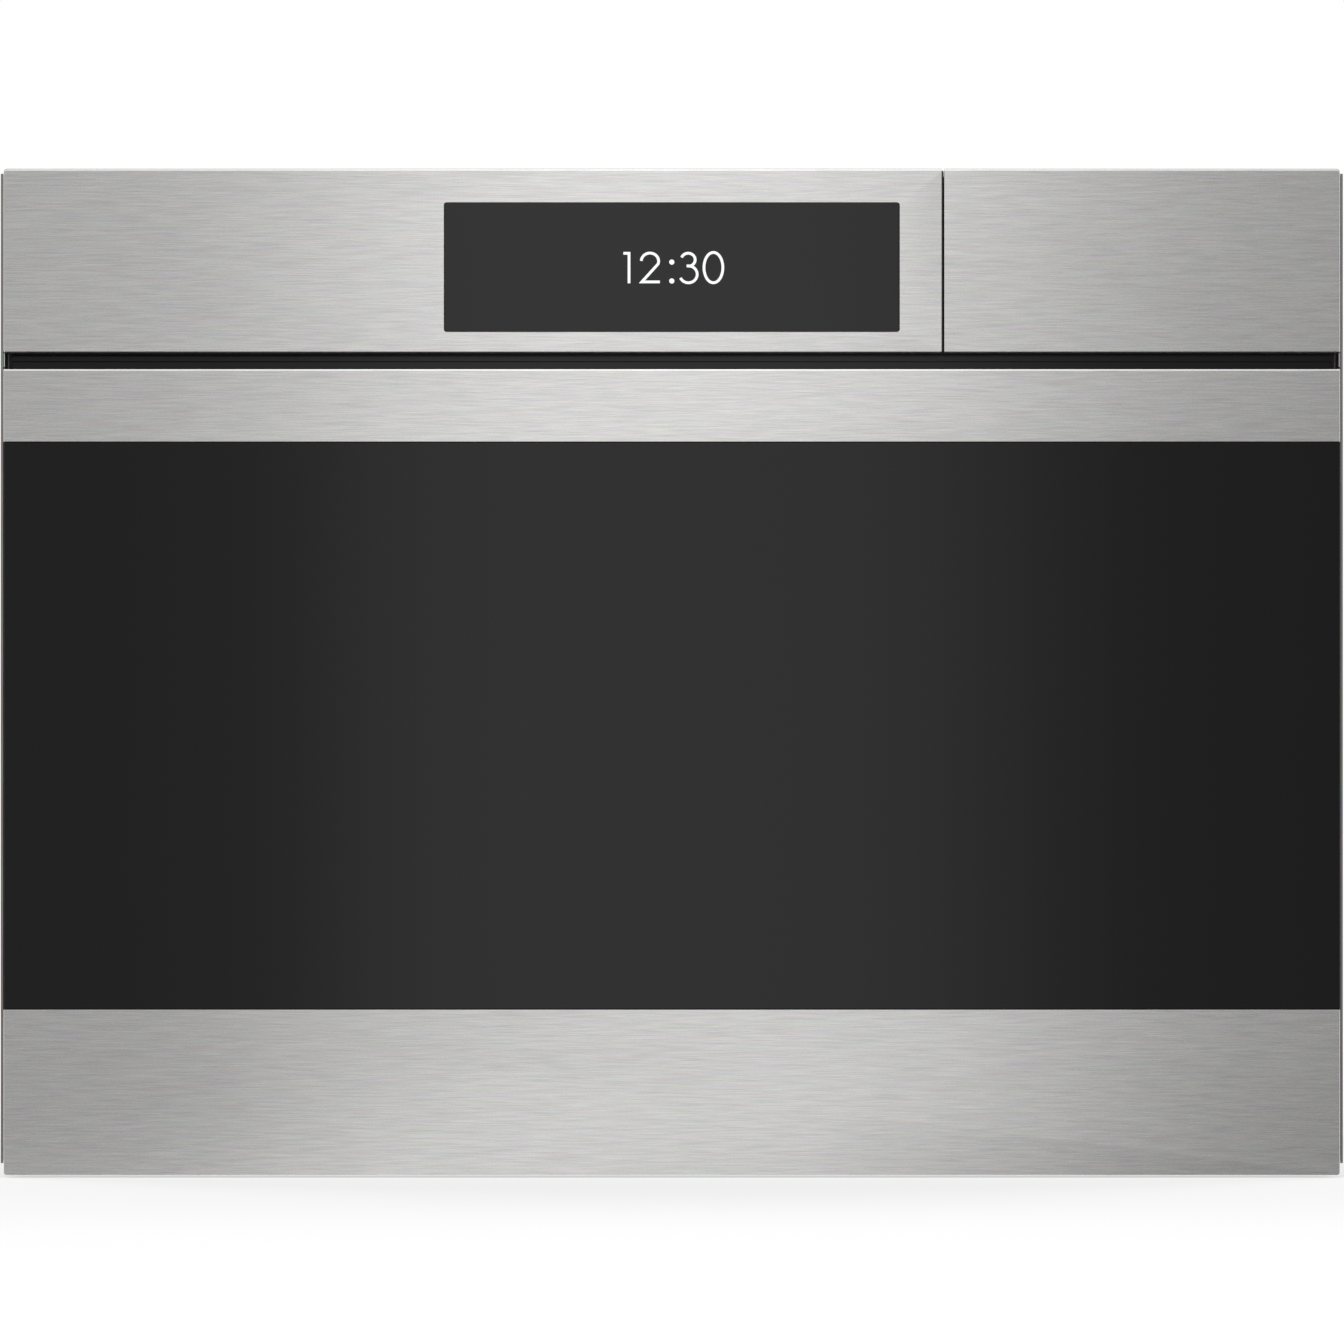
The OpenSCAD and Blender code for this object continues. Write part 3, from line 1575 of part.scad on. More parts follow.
// Fork that is bolted in the door's lower corner and holds the pin on both sides of the arm
module hinge_knuckle() {
    side_x = cheek_in + cheek_t;
    y1 = frame_plate_y - knuckle_gap;
    for (side = [-1, 1]) {
        mid = hinge_x + side * (cheek_in + cheek_t / 2);
        rod_x(mid - cheek_t / 2, mid + cheek_t / 2, hinge_y, pivot_z, cheek_r);
        wide(cheek_t / 2, hinge_y - cheek_r, y1, pivot_z, knuckle_top, mid);
    }
    wide(cheek_in + cheek_t / 2, hinge_y - bridge_reach, y1,
         pivot_z + arm_r + bridge_rise, pivot_z + arm_r + bridge_rise + bridge_t, hinge_x);
    wide(tab_hw, pane_y + frame_t, pane_y + frame_t + tab_t, pivot_z + tab_rise, knuckle_top,
         hinge_x - side_x - tab_hw + tab_over);
    rod_x(hinge_x - side_x - pin_over, hinge_x + side_x + pin_over, hinge_y, pivot_z, pin_r);
}

module hinge_knuckles()
    placed("silver")
        both_sides()
            hinge_knuckle();

mounting_frame();
base_pan();
outer_cover();
rear_panel();
casing_screws();
air_duct();
cavity();
cavity_insulation();
door_seal();
rack_support_left();
rack_support_right();
fan_baffle();
ring_heater();
fan_motor();
steam_generator();
steam_pipe();
water_pump();
drain_sump();
oven_lamp();
lamp_lens();
temperature_sensor();
vent_duct();
fascia_carrier();
control_fascia();
display_glass();
display_module();
control_board();
blower_housing();
blower_motor();
terminal_box();
hinge_arm_left();
hinge_arm_right();
hinge_springs();
door_opener();
door_switch();
tank_bay();
runner_outer();
runner_middle();
fan_wheel();
fan_shaft();
blower_wheel();
vent_damper();
wire_rack();
perforated_pan();
solid_pan();
sump_strainer();
opener_rod();
switch_plunger();
door_top_trim();
door_bottom_trim();
door_outer_glass();
door_middle_glass();
door_inner_glass();
door_frame();
glass_retainers();
hinge_knuckles();
drawer_front();
drawer_carriage();
water_tank();
tank_lid();
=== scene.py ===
import json
from math import cos, pi, radians, sin

import bmesh
import bpy
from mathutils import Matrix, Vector

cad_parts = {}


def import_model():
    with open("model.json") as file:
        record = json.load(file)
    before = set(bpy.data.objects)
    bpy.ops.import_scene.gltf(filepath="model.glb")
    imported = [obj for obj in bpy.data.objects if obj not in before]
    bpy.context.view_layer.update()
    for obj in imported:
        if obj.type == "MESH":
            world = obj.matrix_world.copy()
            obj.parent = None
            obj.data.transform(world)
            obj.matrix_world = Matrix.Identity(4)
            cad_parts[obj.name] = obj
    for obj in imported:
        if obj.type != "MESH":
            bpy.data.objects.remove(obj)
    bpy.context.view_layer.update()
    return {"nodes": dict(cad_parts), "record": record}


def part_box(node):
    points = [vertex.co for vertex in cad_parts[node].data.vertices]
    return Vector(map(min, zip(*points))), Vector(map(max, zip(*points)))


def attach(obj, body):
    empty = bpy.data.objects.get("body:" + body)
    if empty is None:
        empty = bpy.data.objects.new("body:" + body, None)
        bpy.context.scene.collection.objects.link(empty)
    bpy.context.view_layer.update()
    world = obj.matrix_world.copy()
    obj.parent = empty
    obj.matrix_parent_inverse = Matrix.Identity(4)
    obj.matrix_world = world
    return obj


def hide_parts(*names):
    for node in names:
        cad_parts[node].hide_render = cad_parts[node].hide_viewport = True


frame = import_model()
nodes = frame["nodes"]
body_of = {node: body for body, group in frame["record"]["behaviour"]["bodies"].items()
           for node in group}

# Lengths are in metres. Numbers that get multiplied by MM or go to behind() are in millimetres,
# and so are those whose comment or docstring says it.
# X is to the right, Y is to the back, Z is up.
MM = 0.001
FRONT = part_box("control_fascia")[0].y
CENTRE = Vector((0, 0, 0.22))
SHEET = 1.2 * MM
SIDES = (-1, 1)
RIGHT, BACK, UP = Vector((1, 0, 0)), Vector((0, 1, 0)), Vector((0, 0, 1))
AHEAD, DOWN = -BACK, -UP


def behind(distance):
    """Y of a distance in millimetres behind the front faces."""
    return FRONT + distance * MM


# Materials

GRAIN_STRETCH = 46
GRAIN = {"x": (GRAIN_STRETCH, 1, 1), "y": (1, GRAIN_STRETCH, 1), "z": (1, 1, GRAIN_STRETCH)}
EVEN = (1, 1, 1)


def colour_sockets(sockets):
    return [s for s in sockets if s.type == "RGBA"]


def shade(color, factor, lift=0.0):
    return tuple(min(c * factor + lift, 1) for c in color)


class Recipe:
    """A node material that is built up from noise patterns in the object's own coordinates."""

    def __init__(self, name, color, rough, metallic=0.0, **sockets):
        self.mat = bpy.data.materials.new(name)
        self.mat.use_nodes = True
        self.tree = self.mat.node_tree
        self.shader = self.tree.nodes["Principled BSDF"]
        self.color = color
        self.shader.inputs["Base Color"].default_value = (*color, 1)
        self.shader.inputs["Roughness"].default_value = rough
        self.shader.inputs["Metallic"].default_value = metallic
        for key, value in sockets.items():
            self.shader.inputs[key.replace("_", " ")].default_value = value
        self.place = self.add("ShaderNodeTexCoord").outputs["Object"]

    def add(self, kind, **settings):
        node = self.tree.nodes.new(kind)
        for key, value in settings.items():
            setattr(node, key, value)
        return node

    def link(self, source, target):
        self.tree.links.new(source, target)

    def scaled(self, size, stretch):
        """Coordinates for spots about size metres wide, drawn out along each axis by stretch."""
        node = self.add("ShaderNodeMapping")
        node.inputs["Scale"].default_value = [1 / (size * s) for s in stretch]
        self.link(self.place, node.inputs["Vector"])
        return node.outputs["Vector"]

    def noise(self, size, stretch=EVEN, detail=3.0, rough=0.5, output="Fac"):
        place = self.scaled(size, stretch)
        node = self.add("ShaderNodeTexNoise")
        node.inputs["Scale"].default_value = 1.0
        node.inputs["Detail"].default_value = detail
        node.inputs["Roughness"].default_value = rough
        self.link(place, node.inputs["Vector"])
        return node.outputs[output]

    def cells(self, size, stretch=EVEN, feature="F1", output="Color"):
        place = self.scaled(size, stretch)
        node = self.add("ShaderNodeTexVoronoi", feature=feature)
        node.inputs["Scale"].default_value = 1.0
        self.link(place, node.inputs["Vector"])
        return node.outputs[output]

    def spread(self, source, low, high, start=0.25, end=0.75):
        """Maps a pattern between start and end to values from low to high."""
        node = self.add("ShaderNodeMapRange")
        node.inputs["From Min"].default_value = start
        node.inputs["From Max"].default_value = end
        node.inputs["To Min"].default_value = low
        node.inputs["To Max"].default_value = high
        self.link(source, node.inputs["Value"])
        return node.outputs["Result"]

    def tint(self, factor, other, base=None, blend="MIX"):
        """Mixes another colour, or a colour pattern, into the present base colour by a pattern."""
        node = self.add("ShaderNodeMix", data_type="RGBA", blend_type=blend)
        first, second = colour_sockets(node.inputs)
        linked = self.shader.inputs["Base Color"].links
        if linked:
            self.link(linked[0].from_socket, first)
        else:
            first.default_value = (*(base or self.color), 1)
        if hasattr(other, "is_output"):
            self.link(other, second)
        else:
            second.default_value = (*other, 1)
        self.link(factor, node.inputs[0])
        self.link(colour_sockets(node.outputs)[0], self.shader.inputs["Base Color"])

    def gloss(self, source):
        self.link(source, self.shader.inputs["Roughness"])

    def bump(self, source, depth, strength):
        node = self.add("ShaderNodeBump")
        node.inputs["Strength"].default_value = strength
        node.inputs["Distance"].default_value = depth
        self.link(source, node.inputs["Height"])
        self.link(node.outputs["Normal"], self.shader.inputs["Normal"])


def brushed_steel(name, color, rough, grain, contrast=0.10, anisotropic=0.75):
    """Steel with fine scratches along one axis, which spread its highlights across them."""
    r = Recipe(name, color, rough, 1.0, Anisotropic=anisotropic)
    fine = r.noise(0.36 * MM, GRAIN[grain], 1.0)
    hair = r.noise(0.22 * MM, GRAIN[grain], 1.0)
    streak = r.noise(1.0 * MM, GRAIN[grain], 1.0)
    shorter = tuple(0.4 * s if s > 1 else 1 for s in GRAIN[grain])
    hue = r.noise(1.2 * MM, shorter, 2.0, output="Color")
    cloud = r.noise(90 * MM, detail=2.0)
    dark, bright = shade(color, 1 - contrast), shade(color, 1 + contrast)
    r.shader.inputs["Base Color"].default_value = (*dark, 1)
    r.tint(r.spread(fine, 0, 1, 0.32, 0.68), bright, dark)
    r.tint(r.spread(hair, 0, 0.20, 0.35, 0.65), bright)
    r.tint(r.spread(streak, 0, 0.13, 0.45, 0.7), dark)
    r.tint(r.spread(cloud, 0.0, 0.08), shade(color, 0.86))
    r.tint(r.spread(cloud, 0.24, 0.32), hue, blend="OVERLAY")
    r.gloss(r.spread(hair, rough - 0.05, rough + 0.06))
    r.bump(fine, 0.012 * MM, 0.35)
    tangent = r.add("ShaderNodeTangent", direction_type="UV_MAP", uv_map="grain")
    r.link(tangent.outputs["Tangent"], r.shader.inputs["Tangent"])
    return r.mat


def satin_steel(name, color, rough, contrast=0.05, stretch=(1, 30, 1)):
    """Rolled or drawn metal with faint lines, spots in its gloss and brownish clouds."""
    r = Recipe(name, color, rough, 1.0)
    fine = r.noise(0.3 * MM, stretch, 2.0)
    cloud = r.noise(60 * MM)
    spots = r.noise(9 * MM, detail=4.0, rough=0.6)
    red, green, blue = color
    r.tint(r.spread(fine, 0, 1, 0.3, 0.7), shade(color, 1 - contrast))
    r.tint(r.spread(cloud, 0, 0.12, 0.45, 0.75), (red * 0.94, green * 0.88, blue * 0.80))
    r.gloss(r.spread(spots, rough - 0.03, rough + 0.04))
    r.bump(fine, 0.006 * MM, 0.25)
    return r.mat


def zinc_sheet(name, color):
    """Galvanised sheet: crystals of differing grey, and a dull film over them."""
    r = Recipe(name, color, 0.42, 0.9)
    crystal = 7 * MM
    crystals = r.cells(crystal)
    edges = r.cells(crystal, feature="DISTANCE_TO_EDGE", output="Distance")
    needles = r.noise(2.2 * MM, (3, 1, 1), 4.0, 0.65)
    film = r.noise(70 * MM)
    grey = r.add("ShaderNodeSeparateColor")
    r.link(crystals, grey.inputs[0])
    r.tint(r.spread(grey.outputs[0], 0, 1, 0.0, 1.0), shade(color, 0.87))
    r.tint(r.spread(needles, 0, 0.30), shade(color, 1.12))
    r.tint(r.spread(edges, 0.22, 0.0, 0.0, 0.06), shade(color, 0.6))
    r.tint(r.spread(film, 0, 0.22), (0.42, 0.43, 0.44))
    r.gloss(r.spread(grey.outputs[1], 0.34, 0.55, 0.0, 1.0))
    r.bump(needles, 0.02 * MM, 0.14)
    return r.mat


def paint(name, color, rough, grain=0.5 * MM, depth=0.02 * MM):
    """Coated or moulded surface with a fine skin and faint marks."""
    r = Recipe(name, color, rough)
    skin = r.noise(grain, rough=0.6)
    marks = r.noise(35 * MM, detail=4.0, rough=0.6)
    r.tint(r.spread(marks, 0, 0.5, 0.4, 0.75), shade(color, 1.35, 0.004))
    r.tint(r.spread(skin, 0, 0.35), shade(color, 0.75))
    r.gloss(r.spread(marks, rough - 0.05, rough + 0.09))
    r.bump(skin, depth, 0.5)
    return r.mat


def pane(name, color, rough, ior=1.45, **sockets):
    """Polished glass with faint wiping marks in its gloss."""
    r = Recipe(name, color, rough, IOR=ior, **sockets)
    wipe = r.noise(28 * MM, (3, 1, 1), rough=0.55)
    haze = r.noise(120 * MM, detail=2.0)
    r.tint(r.spread(haze, 0, 0.5), shade(color, 1.25, 0.0004))
    r.gloss(r.spread(wipe, rough, rough + 0.01))
    return r.mat


def wool():
    r = Recipe("insulation_wool", (0.62, 0.55, 0.36), 0.95)
    fibre = r.noise(1.6 * MM, (6, 1, 2), 6.0, 0.7)
    r.tint(r.spread(fibre, 0, 1, 0.35, 0.7), (0.80, 0.75, 0.58))
    r.bump(fibre, 0.8 * MM, 0.8)
    return r.mat


def board_laminate():
    r = Recipe("circuit_board", (0.02, 0.15, 0.06), 0.35)
    tracks = r.cells(3 * MM, (2, 1, 1), "DISTANCE_TO_EDGE", "Distance")
    r.tint(r.spread(tracks, 0.8, 0.0, 0.02, 0.06), (0.05, 0.28, 0.12))
    r.bump(tracks, 0.03 * MM, 0.5)
    return r.mat


def lit_digits():
    """White light behind a fine pixel mesh."""
    r = Recipe("lit_digits", (0.06, 0.06, 0.065), 0.3)
    pixels = r.cells(0.12 * MM, output="Distance")
    ramp = r.add("ShaderNodeMix", data_type="RGBA")
    first, second = colour_sockets(ramp.inputs)
    first.default_value = (1.0, 1.0, 1.0, 1)
    second.default_value = (0.90, 0.92, 0.94, 1)
    r.link(r.spread(pixels, 0, 1, 0.2, 0.8), ramp.inputs[0])
    r.link(colour_sockets(ramp.outputs)[0], r.shader.inputs["Emission Color"])
    r.shader.inputs["Emission Strength"].default_value = 1.0
    return r.mat


front_steel = brushed_steel("front_steel", (0.795, 0.786, 0.777), 0.26, "x", 0.10, 0.92)
# Brighter copy of the front steel, for the upper and lower bends and the slot's front ends: a
# painted highlight.
painted_highlight_steel = brushed_steel("painted_highlight_steel", (0.96, 0.95, 0.935), 0.20, "x", 0.04, 0.5)
trim_steel = brushed_steel("trim_steel", (0.38, 0.375, 0.37), 0.30, "z", 0.06)
black_glass = pane("black_glass", (0.0006, 0.0006, 0.0006), 0.03, 1.43)
display_glass = pane("display_glass", (0.0050, 0.0050, 0.0051), 0.05, 1.43)
glass_edge = paint("ground_glass_edge", (0.035, 0.038, 0.037), 0.35, 0.3 * MM)
flange_paint = paint("flange_black", (0.012, 0.012, 0.0125), 0.22, 0.6 * MM, 0.008 * MM)
black_plastic = paint("black_plastic", (0.022, 0.022, 0.023), 0.48, 0.45 * MM, 0.03 * MM)
clear_glass = pane("clear_glass", (0.93, 0.96, 0.95), 0.0, Transmission_Weight=1.0)
grille_black = pane("grille_black", (0.0030, 0.0030, 0.0031), 0.09, 1.43)
lens_glass = pane("lens_glass", (0.82, 0.84, 0.82), 0.28, Alpha=0.85)
cavity_steel = satin_steel("cavity_steel", (0.68, 0.67, 0.655), 0.30)
pan_steel = satin_steel("pan_steel", (0.72, 0.71, 0.70), 0.24, 0.04, (40, 1, 1))
casing_zinc = zinc_sheet("casing_zinc", (0.54, 0.56, 0.575))
chrome_wire = satin_steel("chrome_wire", (0.70, 0.70, 0.71), 0.12)
hinge_steel = satin_steel("hinge_steel", (0.46, 0.46, 0.45), 0.32, 0.15)
grey_plastic = paint("grey_plastic", (0.30, 0.31, 0.32), 0.45, 0.5 * MM, 0.03 * MM)
tank_plastic = paint("tank_plastic", (0.62, 0.72, 0.77), 0.16, 1.2 * MM, 0.01 * MM)
seal_rubber = paint("seal_rubber", (0.028, 0.028, 0.030), 0.58, 0.35 * MM, 0.04 * MM)
motor_metal = paint("motor_metal", (0.10, 0.10, 0.105), 0.4, 0.8 * MM, 0.04 * MM)
cast_metal = satin_steel("cast_aluminium", (0.62, 0.62, 0.63), 0.45, 0.2)
heater_metal = satin_steel("heater_metal", (0.16, 0.135, 0.12), 0.42, 0.25)
door_black = paint("door_black", (0.016, 0.016, 0.017), 0.38)
frit = paint("printed_border", (0.010, 0.010, 0.0105), 0.24, 0.25 * MM, 0.004 * MM)
insulation = wool()
circuit_board = board_laminate()
digit_light = lit_digits()
SHEET_STEEL = [front_steel, painted_highlight_steel]
GLAZING = [clear_glass, frit, glass_edge]
FLANGE = [flange_paint, trim_steel, painted_highlight_steel]


# Meshes

def grain_map(bm):
    """UV map whose U runs across the scratches of horizontally brushed sheet."""
    layer = bm.loops.layers.uv.new("grain")
    for face in bm.faces:
        flat = abs(face.normal.z) > 0.7
        for loop in face.loops:
            p = loop.vert.co
            loop[layer].uv = (p.y, p.x) if flat else (p.z, p.x + p.y)


def finish_piece(name, bm, body, mats, replaces=(), sharp=38):
    """Makes an object of a mesh; edges with an angle over sharp degrees stay sharp."""
    bmesh.ops.recalc_face_normals(bm, faces=bm.faces)
    bm.normal_update()
    grain_map(bm)
    mesh = bpy.data.meshes.new(name)
    bm.to_mesh(mesh)
    bm.free()
    for mat in mats if isinstance(mats, list) else [mats]:
        mesh.materials.append(mat)
    mesh.shade_smooth()
    mesh.set_sharp_from_angle(angle=radians(sharp))
    obj = bpy.data.objects.new(name, mesh)
    bpy.context.scene.collection.objects.link(obj)
    weigh = obj.modifiers.new("flat_faces", "WEIGHTED_NORMAL")
    weigh.keep_sharp = True
    weigh.weight = 100
    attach(obj, body)
    if replaces:
        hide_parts(*replaces)


def four(r):
    """Four corner radii, from top right and on to the left, out of one or four."""
    return r if isinstance(r, (list, tuple)) else [r] * 4


def rounded(x0, x1, z0, z1, r, steps=6):
    """Corner points of a rounded rectangle."""
    least = 0.02 * MM
    corners = [(x1, z1, 0), (x0, z1, 90), (x0, z0, 180), (x1, z0, 270)]
    points = []
    for (cx, cz, start), radius in zip(corners, four(r)):
        radius = max(radius, least)
        mx = cx - radius if start in (0, 270) else cx + radius
        mz = cz - radius if start in (0, 90) else cz + radius
        for i in range(steps + 1):
            a = radians(start + 90 * i / steps)
            points.append((mx + radius * cos(a), mz + radius * sin(a)))
    return points


def inset(x0, x1, z0, z1, r, d, steps=6):
    """A rounded rectangle whose sides lie d further in."""
    return rounded(x0 + d, x1 - d, z0 + d, z1 - d, [max(q - d, 0) for q in four(r)], steps)


def ring_y(points, y):
    return [(x, y, z) for x, z in points]


def loft(bm, rings, loop=False, caps=False, mat=0):
    """Skins a row of rings that hold equally many points."""
    verts = [[bm.verts.new(p) for p in ring] for ring in rings]
    pairs = list(zip(verts, verts[1:]))
    if loop:
        pairs.append((verts[-1], verts[0]))
    for a, b in pairs:
        n = len(a)
        for i in range(n):
            face = bm.faces.new((a[i], a[(i + 1) % n], b[(i + 1) % n], b[i]))
            face.material_index = mat
    if caps:
        for ring in (verts[0], verts[-1]):
            bm.faces.new(ring).material_index = mat
    return verts


def plate(bm, x0, x1, y0, y1, z0, z1, r, edge, steps=3, mat=0):
    """Upright slab with corners of radius r, whose front and back edges are rounded by edge."""
    turns = [radians(90 * i / steps) for i in range(steps + 1)]
    rings = [ring_y(inset(x0, x1, z0, z1, r, edge * (1 - sin(a))), y0 + edge * (1 - cos(a)))
             for a in turns]
    rings += [ring_y(inset(x0, x1, z0, z1, r, edge * (1 - cos(a))), y1 - edge * (1 - sin(a)))
              for a in turns]
    loft(bm, rings, caps=True, mat=mat)


# Depth of the bends, and how much of them the front shows, as a share of their depth
BEND = 0.9 * MM
BEND_STEPS = 4
LOWER_BEND = 0.6
SIDE_BEND = 0.6
SPLIT_BEND = 0.15
UPPER_BEND = 1.3
FLAT_BEND = 0.3


def folded_sheet(bm, x0, x1, z0, z1, depth, corner, window=None, crown=UPPER_BEND,
                 sides=(SIDE_BEND, SIDE_BEND)):
    """Front skin whose edges turn back by depth, with bends of depth BEND.

    A window is x0, x1, z0, z1, its corners' radius and the depth of its lip. Crown is the upper
    bend's height, and sides are the widths of the left and right bends, as shares of BEND.
    """
    rings = []

    def outline(d):
        return ring_y(inset(x0, x1, z0, z1, corner, d), FRONT + depth)

    if window:
        *opening, radius, lip = window
        for widen, back in ((0, SHEET), (0, lip), (lip, 0)):
            rings.append(ring_y(inset(*opening, radius, -widen), FRONT + back))
    for i in range(BEND_STEPS + 1):
        a = radians(90 * i / BEND_STEPS)
        d = BEND * (1 - sin(a))
        points = inset(x0 - (1 - sides[0]) * d, x1 + (1 - sides[1]) * d,
                       z0 - (1 - LOWER_BEND) * d, z1 - (crown - 1) * d, corner, d)
        rings.append(ring_y(points, FRONT + BEND * (1 - cos(a))))
    rings += [outline(0), outline(SHEET)]
    rings.append(ring_y(inset(x0, x1, z0, z1, corner, SHEET), FRONT + SHEET))
    loft(bm, rings, loop=bool(window), caps=not window)
    bm.normal_update()
    # The upper and lower bends take the brighter steel, a painted highlight.
    for face in bm.faces:
        across = face.normal
        if 0.05 < abs(across.y) < 0.98 and abs(across.z) > abs(across.x):
            face.material_index = SHEET_STEEL.index(painted_highlight_steel)


def frame_of(normal, along=None):
    """A normal and two directions that lie across it."""
    n = Vector(normal).normalized()
    u = Vector(along) if along else n.orthogonal().normalized()
    return u, n.cross(u), n


def outward(normal, place):
    """The normal, turned away from the oven's middle."""
    return -normal if normal.dot(place - CENTRE) < 0 else normal


# Distance to a nut's flats, as a share of the radius that cuts its corners
HEX_FLAT = 0.8700957
SHAPES = {
    "round": lambda a: 1.0,
    "hex": lambda a: min(HEX_FLAT / cos((a + pi / 6) % (pi / 3) - pi / 6), 1.0),
    "lobed": lambda a: 1.0 + 0.13 * cos(6 * a),
}


def turned(bm, centre, normal, profile, count=24, shape="round", closed=False):
    """Turned shape about a normal; profile rows are (radius, height[, shape]) in millimetres."""
    u, v, n = frame_of(normal)
    centre = Vector(centre)
    rings = []
    for row in profile:
        form = SHAPES[row[2] if len(row) > 2 else shape]
        ring = []
        for i in range(count):
            a = 2 * pi * i / count
            reach = row[0] * form(a) * MM
            ring.append(centre + (u * cos(a) + v * sin(a)) * reach + n * row[1] * MM)
        rings.append(ring)
    loft(bm, rings, loop=closed, caps=not closed)


def screw_head(bm, centre, normal, r, h):
    """Pan head with a six-lobed recess; radius and height are in millimetres."""
    turned(bm, centre, normal, [
        (r * 0.9, -0.3), (r, 0), (r, 0.25 * h), (r * 0.93, 0.6 * h), (r * 0.75, 0.86 * h),
        (r * 0.55, h), (r * 0.44, h, "lobed"), (r * 0.42, h - 0.9, "lobed"), (r * 0.2, h - 1.0)])


RIB_W = 14
RIB_ROWS = [(0, -0.2), (0.4, 0.12), (1.2, 0.75), (2.2, 1.4), (3.4, 1.85), (4.8, 2.1), (6.3, 2.2)]


def rib(bm, centre, along, across, length):
    """Stiffening bead with round ends, pressed out of a sheet.

    Its length and width are in millimetres, and so are its rows of (inset, height).
    """
    centre = Vector(centre)
    u, v, n = frame_of(outward(across.cross(along), centre), along)
    rings = []
    for d, h in RIB_ROWS:
        points = inset(-length / 2, length / 2, -RIB_W / 2, RIB_W / 2, RIB_W / 2, d, 8)
        rings.append([centre + (u * x + v * z) * MM + n * h * MM for x, z in points])
    loft(bm, rings, caps=True)


HOOD_ROWS = [(5.0, -0.1), (4.2, 0.15), (3.2, 0.6), (2.1, 1.1), (1.0, 1.5), (0.2, 1.7), (0.0, 1.5),
             (0.2, 0.8), (1.6, 0.3), (3.0, -0.2)]
HOOD_OVER = 2
HOOD_FADE = 6
HOOD_STEPS = 16
LOUVRES = 9
LOUVRE_PITCH = 12
LOUVRE_L = 60


def hood(bm, centre, along, down):
    """Lip pressed out over a louvre's slot, which fades out above the slot and at its ends.

    All sizes are in millimetres, and the rows are (height above the slot, height over the sheet).
    """
    centre = Vector(centre)
    n = outward(along.cross(down), centre)
    half = LOUVRE_L / 2 + HOOD_OVER
    rings = []
    for j in range(HOOD_STEPS + 1):
        s = half * (2 * j / HOOD_STEPS - 1)
        into_end = max(0.0, abs(s) - (half - HOOD_FADE)) / HOOD_FADE
        rise = max(0.0, 1 - into_end ** 2) ** 0.5
        rings.append([centre + (along * s - down * up) * MM
                      + n * (out * rise - 0.1 * (1 - rise)) * MM for up, out in HOOD_ROWS])
    loft(bm, rings, caps=True)


def round_edges(bm, edges, size, steps):
    bmesh.ops.bevel(bm, geom=edges, offset=size, offset_type="OFFSET", segments=steps,
                    profile=0.5, affect="EDGES", clamp_overlap=True)


# Facets under the first angle become one face; edges over the others are rounded, all or picked
FACET_ANGLE = radians(1)
EDGE_ANGLE = radians(50)
PICK_ANGLE = 0.6


def edges_over(bm, angle):
    return [e for e in bm.edges if len(e.link_faces) == 2 and e.calc_face_angle(0) > angle]


def copied(node, bevel=0.0, segments=1, pick=None, size=0.0, steps=1):
    """Copies a node's mesh, joins its facets and rounds the edges.

    Pick names edges by a test, and they are rounded by a size of their own.
    """
    source = nodes[node].data
    plain = bpy.data.meshes.new("plain")
    plain.from_pydata([v.co for v in source.vertices], [],
                      [p.vertices[:] for p in source.polygons])
    bm = bmesh.new()
    bm.from_mesh(plain)
    bpy.data.meshes.remove(plain)
    bmesh.ops.remove_doubles(bm, verts=bm.verts, dist=0.002 * MM)
    bmesh.ops.dissolve_limit(bm, angle_limit=FACET_ANGLE, verts=bm.verts, edges=bm.edges)
    if pick:
        round_edges(bm, [e for e in edges_over(bm, PICK_ANGLE) if pick(e)], size, steps)
    if bevel:
        round_edges(bm, edges_over(bm, EDGE_ANGLE), bevel, segments)
    return bm


def dress(node, mats, bevel, segments=1):
    """Replaces a node by a copy with rounded edges."""
    bm = copied(node, bevel, segments)
    finish_piece(node + "_finished", bm, body_of[node], mats, (node,))


def repaint(mat, *names):
    """Gives CAD nodes that keep their shape a finished material."""
    for name in names:
        mesh = nodes[name].data
        mesh.materials.clear()
        mesh.materials.append(mat)


# Front panels

fascia_lo, fascia_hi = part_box("control_fascia")
drawer_lo, drawer_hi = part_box("drawer_front")
glass_lo, glass_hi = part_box("display_glass")
FOLD = 18 * MM
STRIP_FOLD = 4.3 * MM
CORNER = 1.6 * MM
TIGHT_CORNER = 0.3 * MM
SPLIT_CORNER = 0.5 * MM
WINDOW_GAP = 0.15 * MM
WINDOW_R = 1.3 * MM
WINDOW_LIP = 0.12 * MM


def control_fascia():
    bm = bmesh.new()
    window = (glass_lo.x - WINDOW_GAP, glass_hi.x + WINDOW_GAP,
              glass_lo.z - WINDOW_GAP, glass_hi.z + WINDOW_GAP, WINDOW_R, WINDOW_LIP)
    folded_sheet(bm, fascia_lo.x, fascia_hi.x, fascia_lo.z, fascia_hi.z, FOLD,
                 (TIGHT_CORNER, CORNER, SPLIT_CORNER, TIGHT_CORNER), window,
                 sides=(SIDE_BEND, SPLIT_BEND))
    finish_piece("control_fascia_sheet", bm, "chassis", SHEET_STEEL,
                 ("control_fascia",))


BRACKET_X = 47 * MM
BRACKET_HW = 2 * MM
BRACKET_Z = (374.5 * MM, 432 * MM)


def drawer_front():
    """The drawer's sheet with the two brackets that hold it on the carriage."""
    bm = bmesh.new()
    folded_sheet(bm, drawer_lo.x, drawer_hi.x, fascia_lo.z, fascia_hi.z, FOLD,
                 (CORNER, TIGHT_CORNER, TIGHT_CORNER, SPLIT_CORNER),
                 sides=(SPLIT_BEND, SIDE_BEND))
    for side in SIDES:
        x = (drawer_lo.x + drawer_hi.x) / 2 + side * BRACKET_X
        plate(bm, x - BRACKET_HW, x + BRACKET_HW, behind(1.0), behind(18), *BRACKET_Z,
              0.5 * MM, 0.3 * MM)
    finish_piece("drawer_front_sheet", bm, "tank_drawer", SHEET_STEEL,
                 ("drawer_front",))


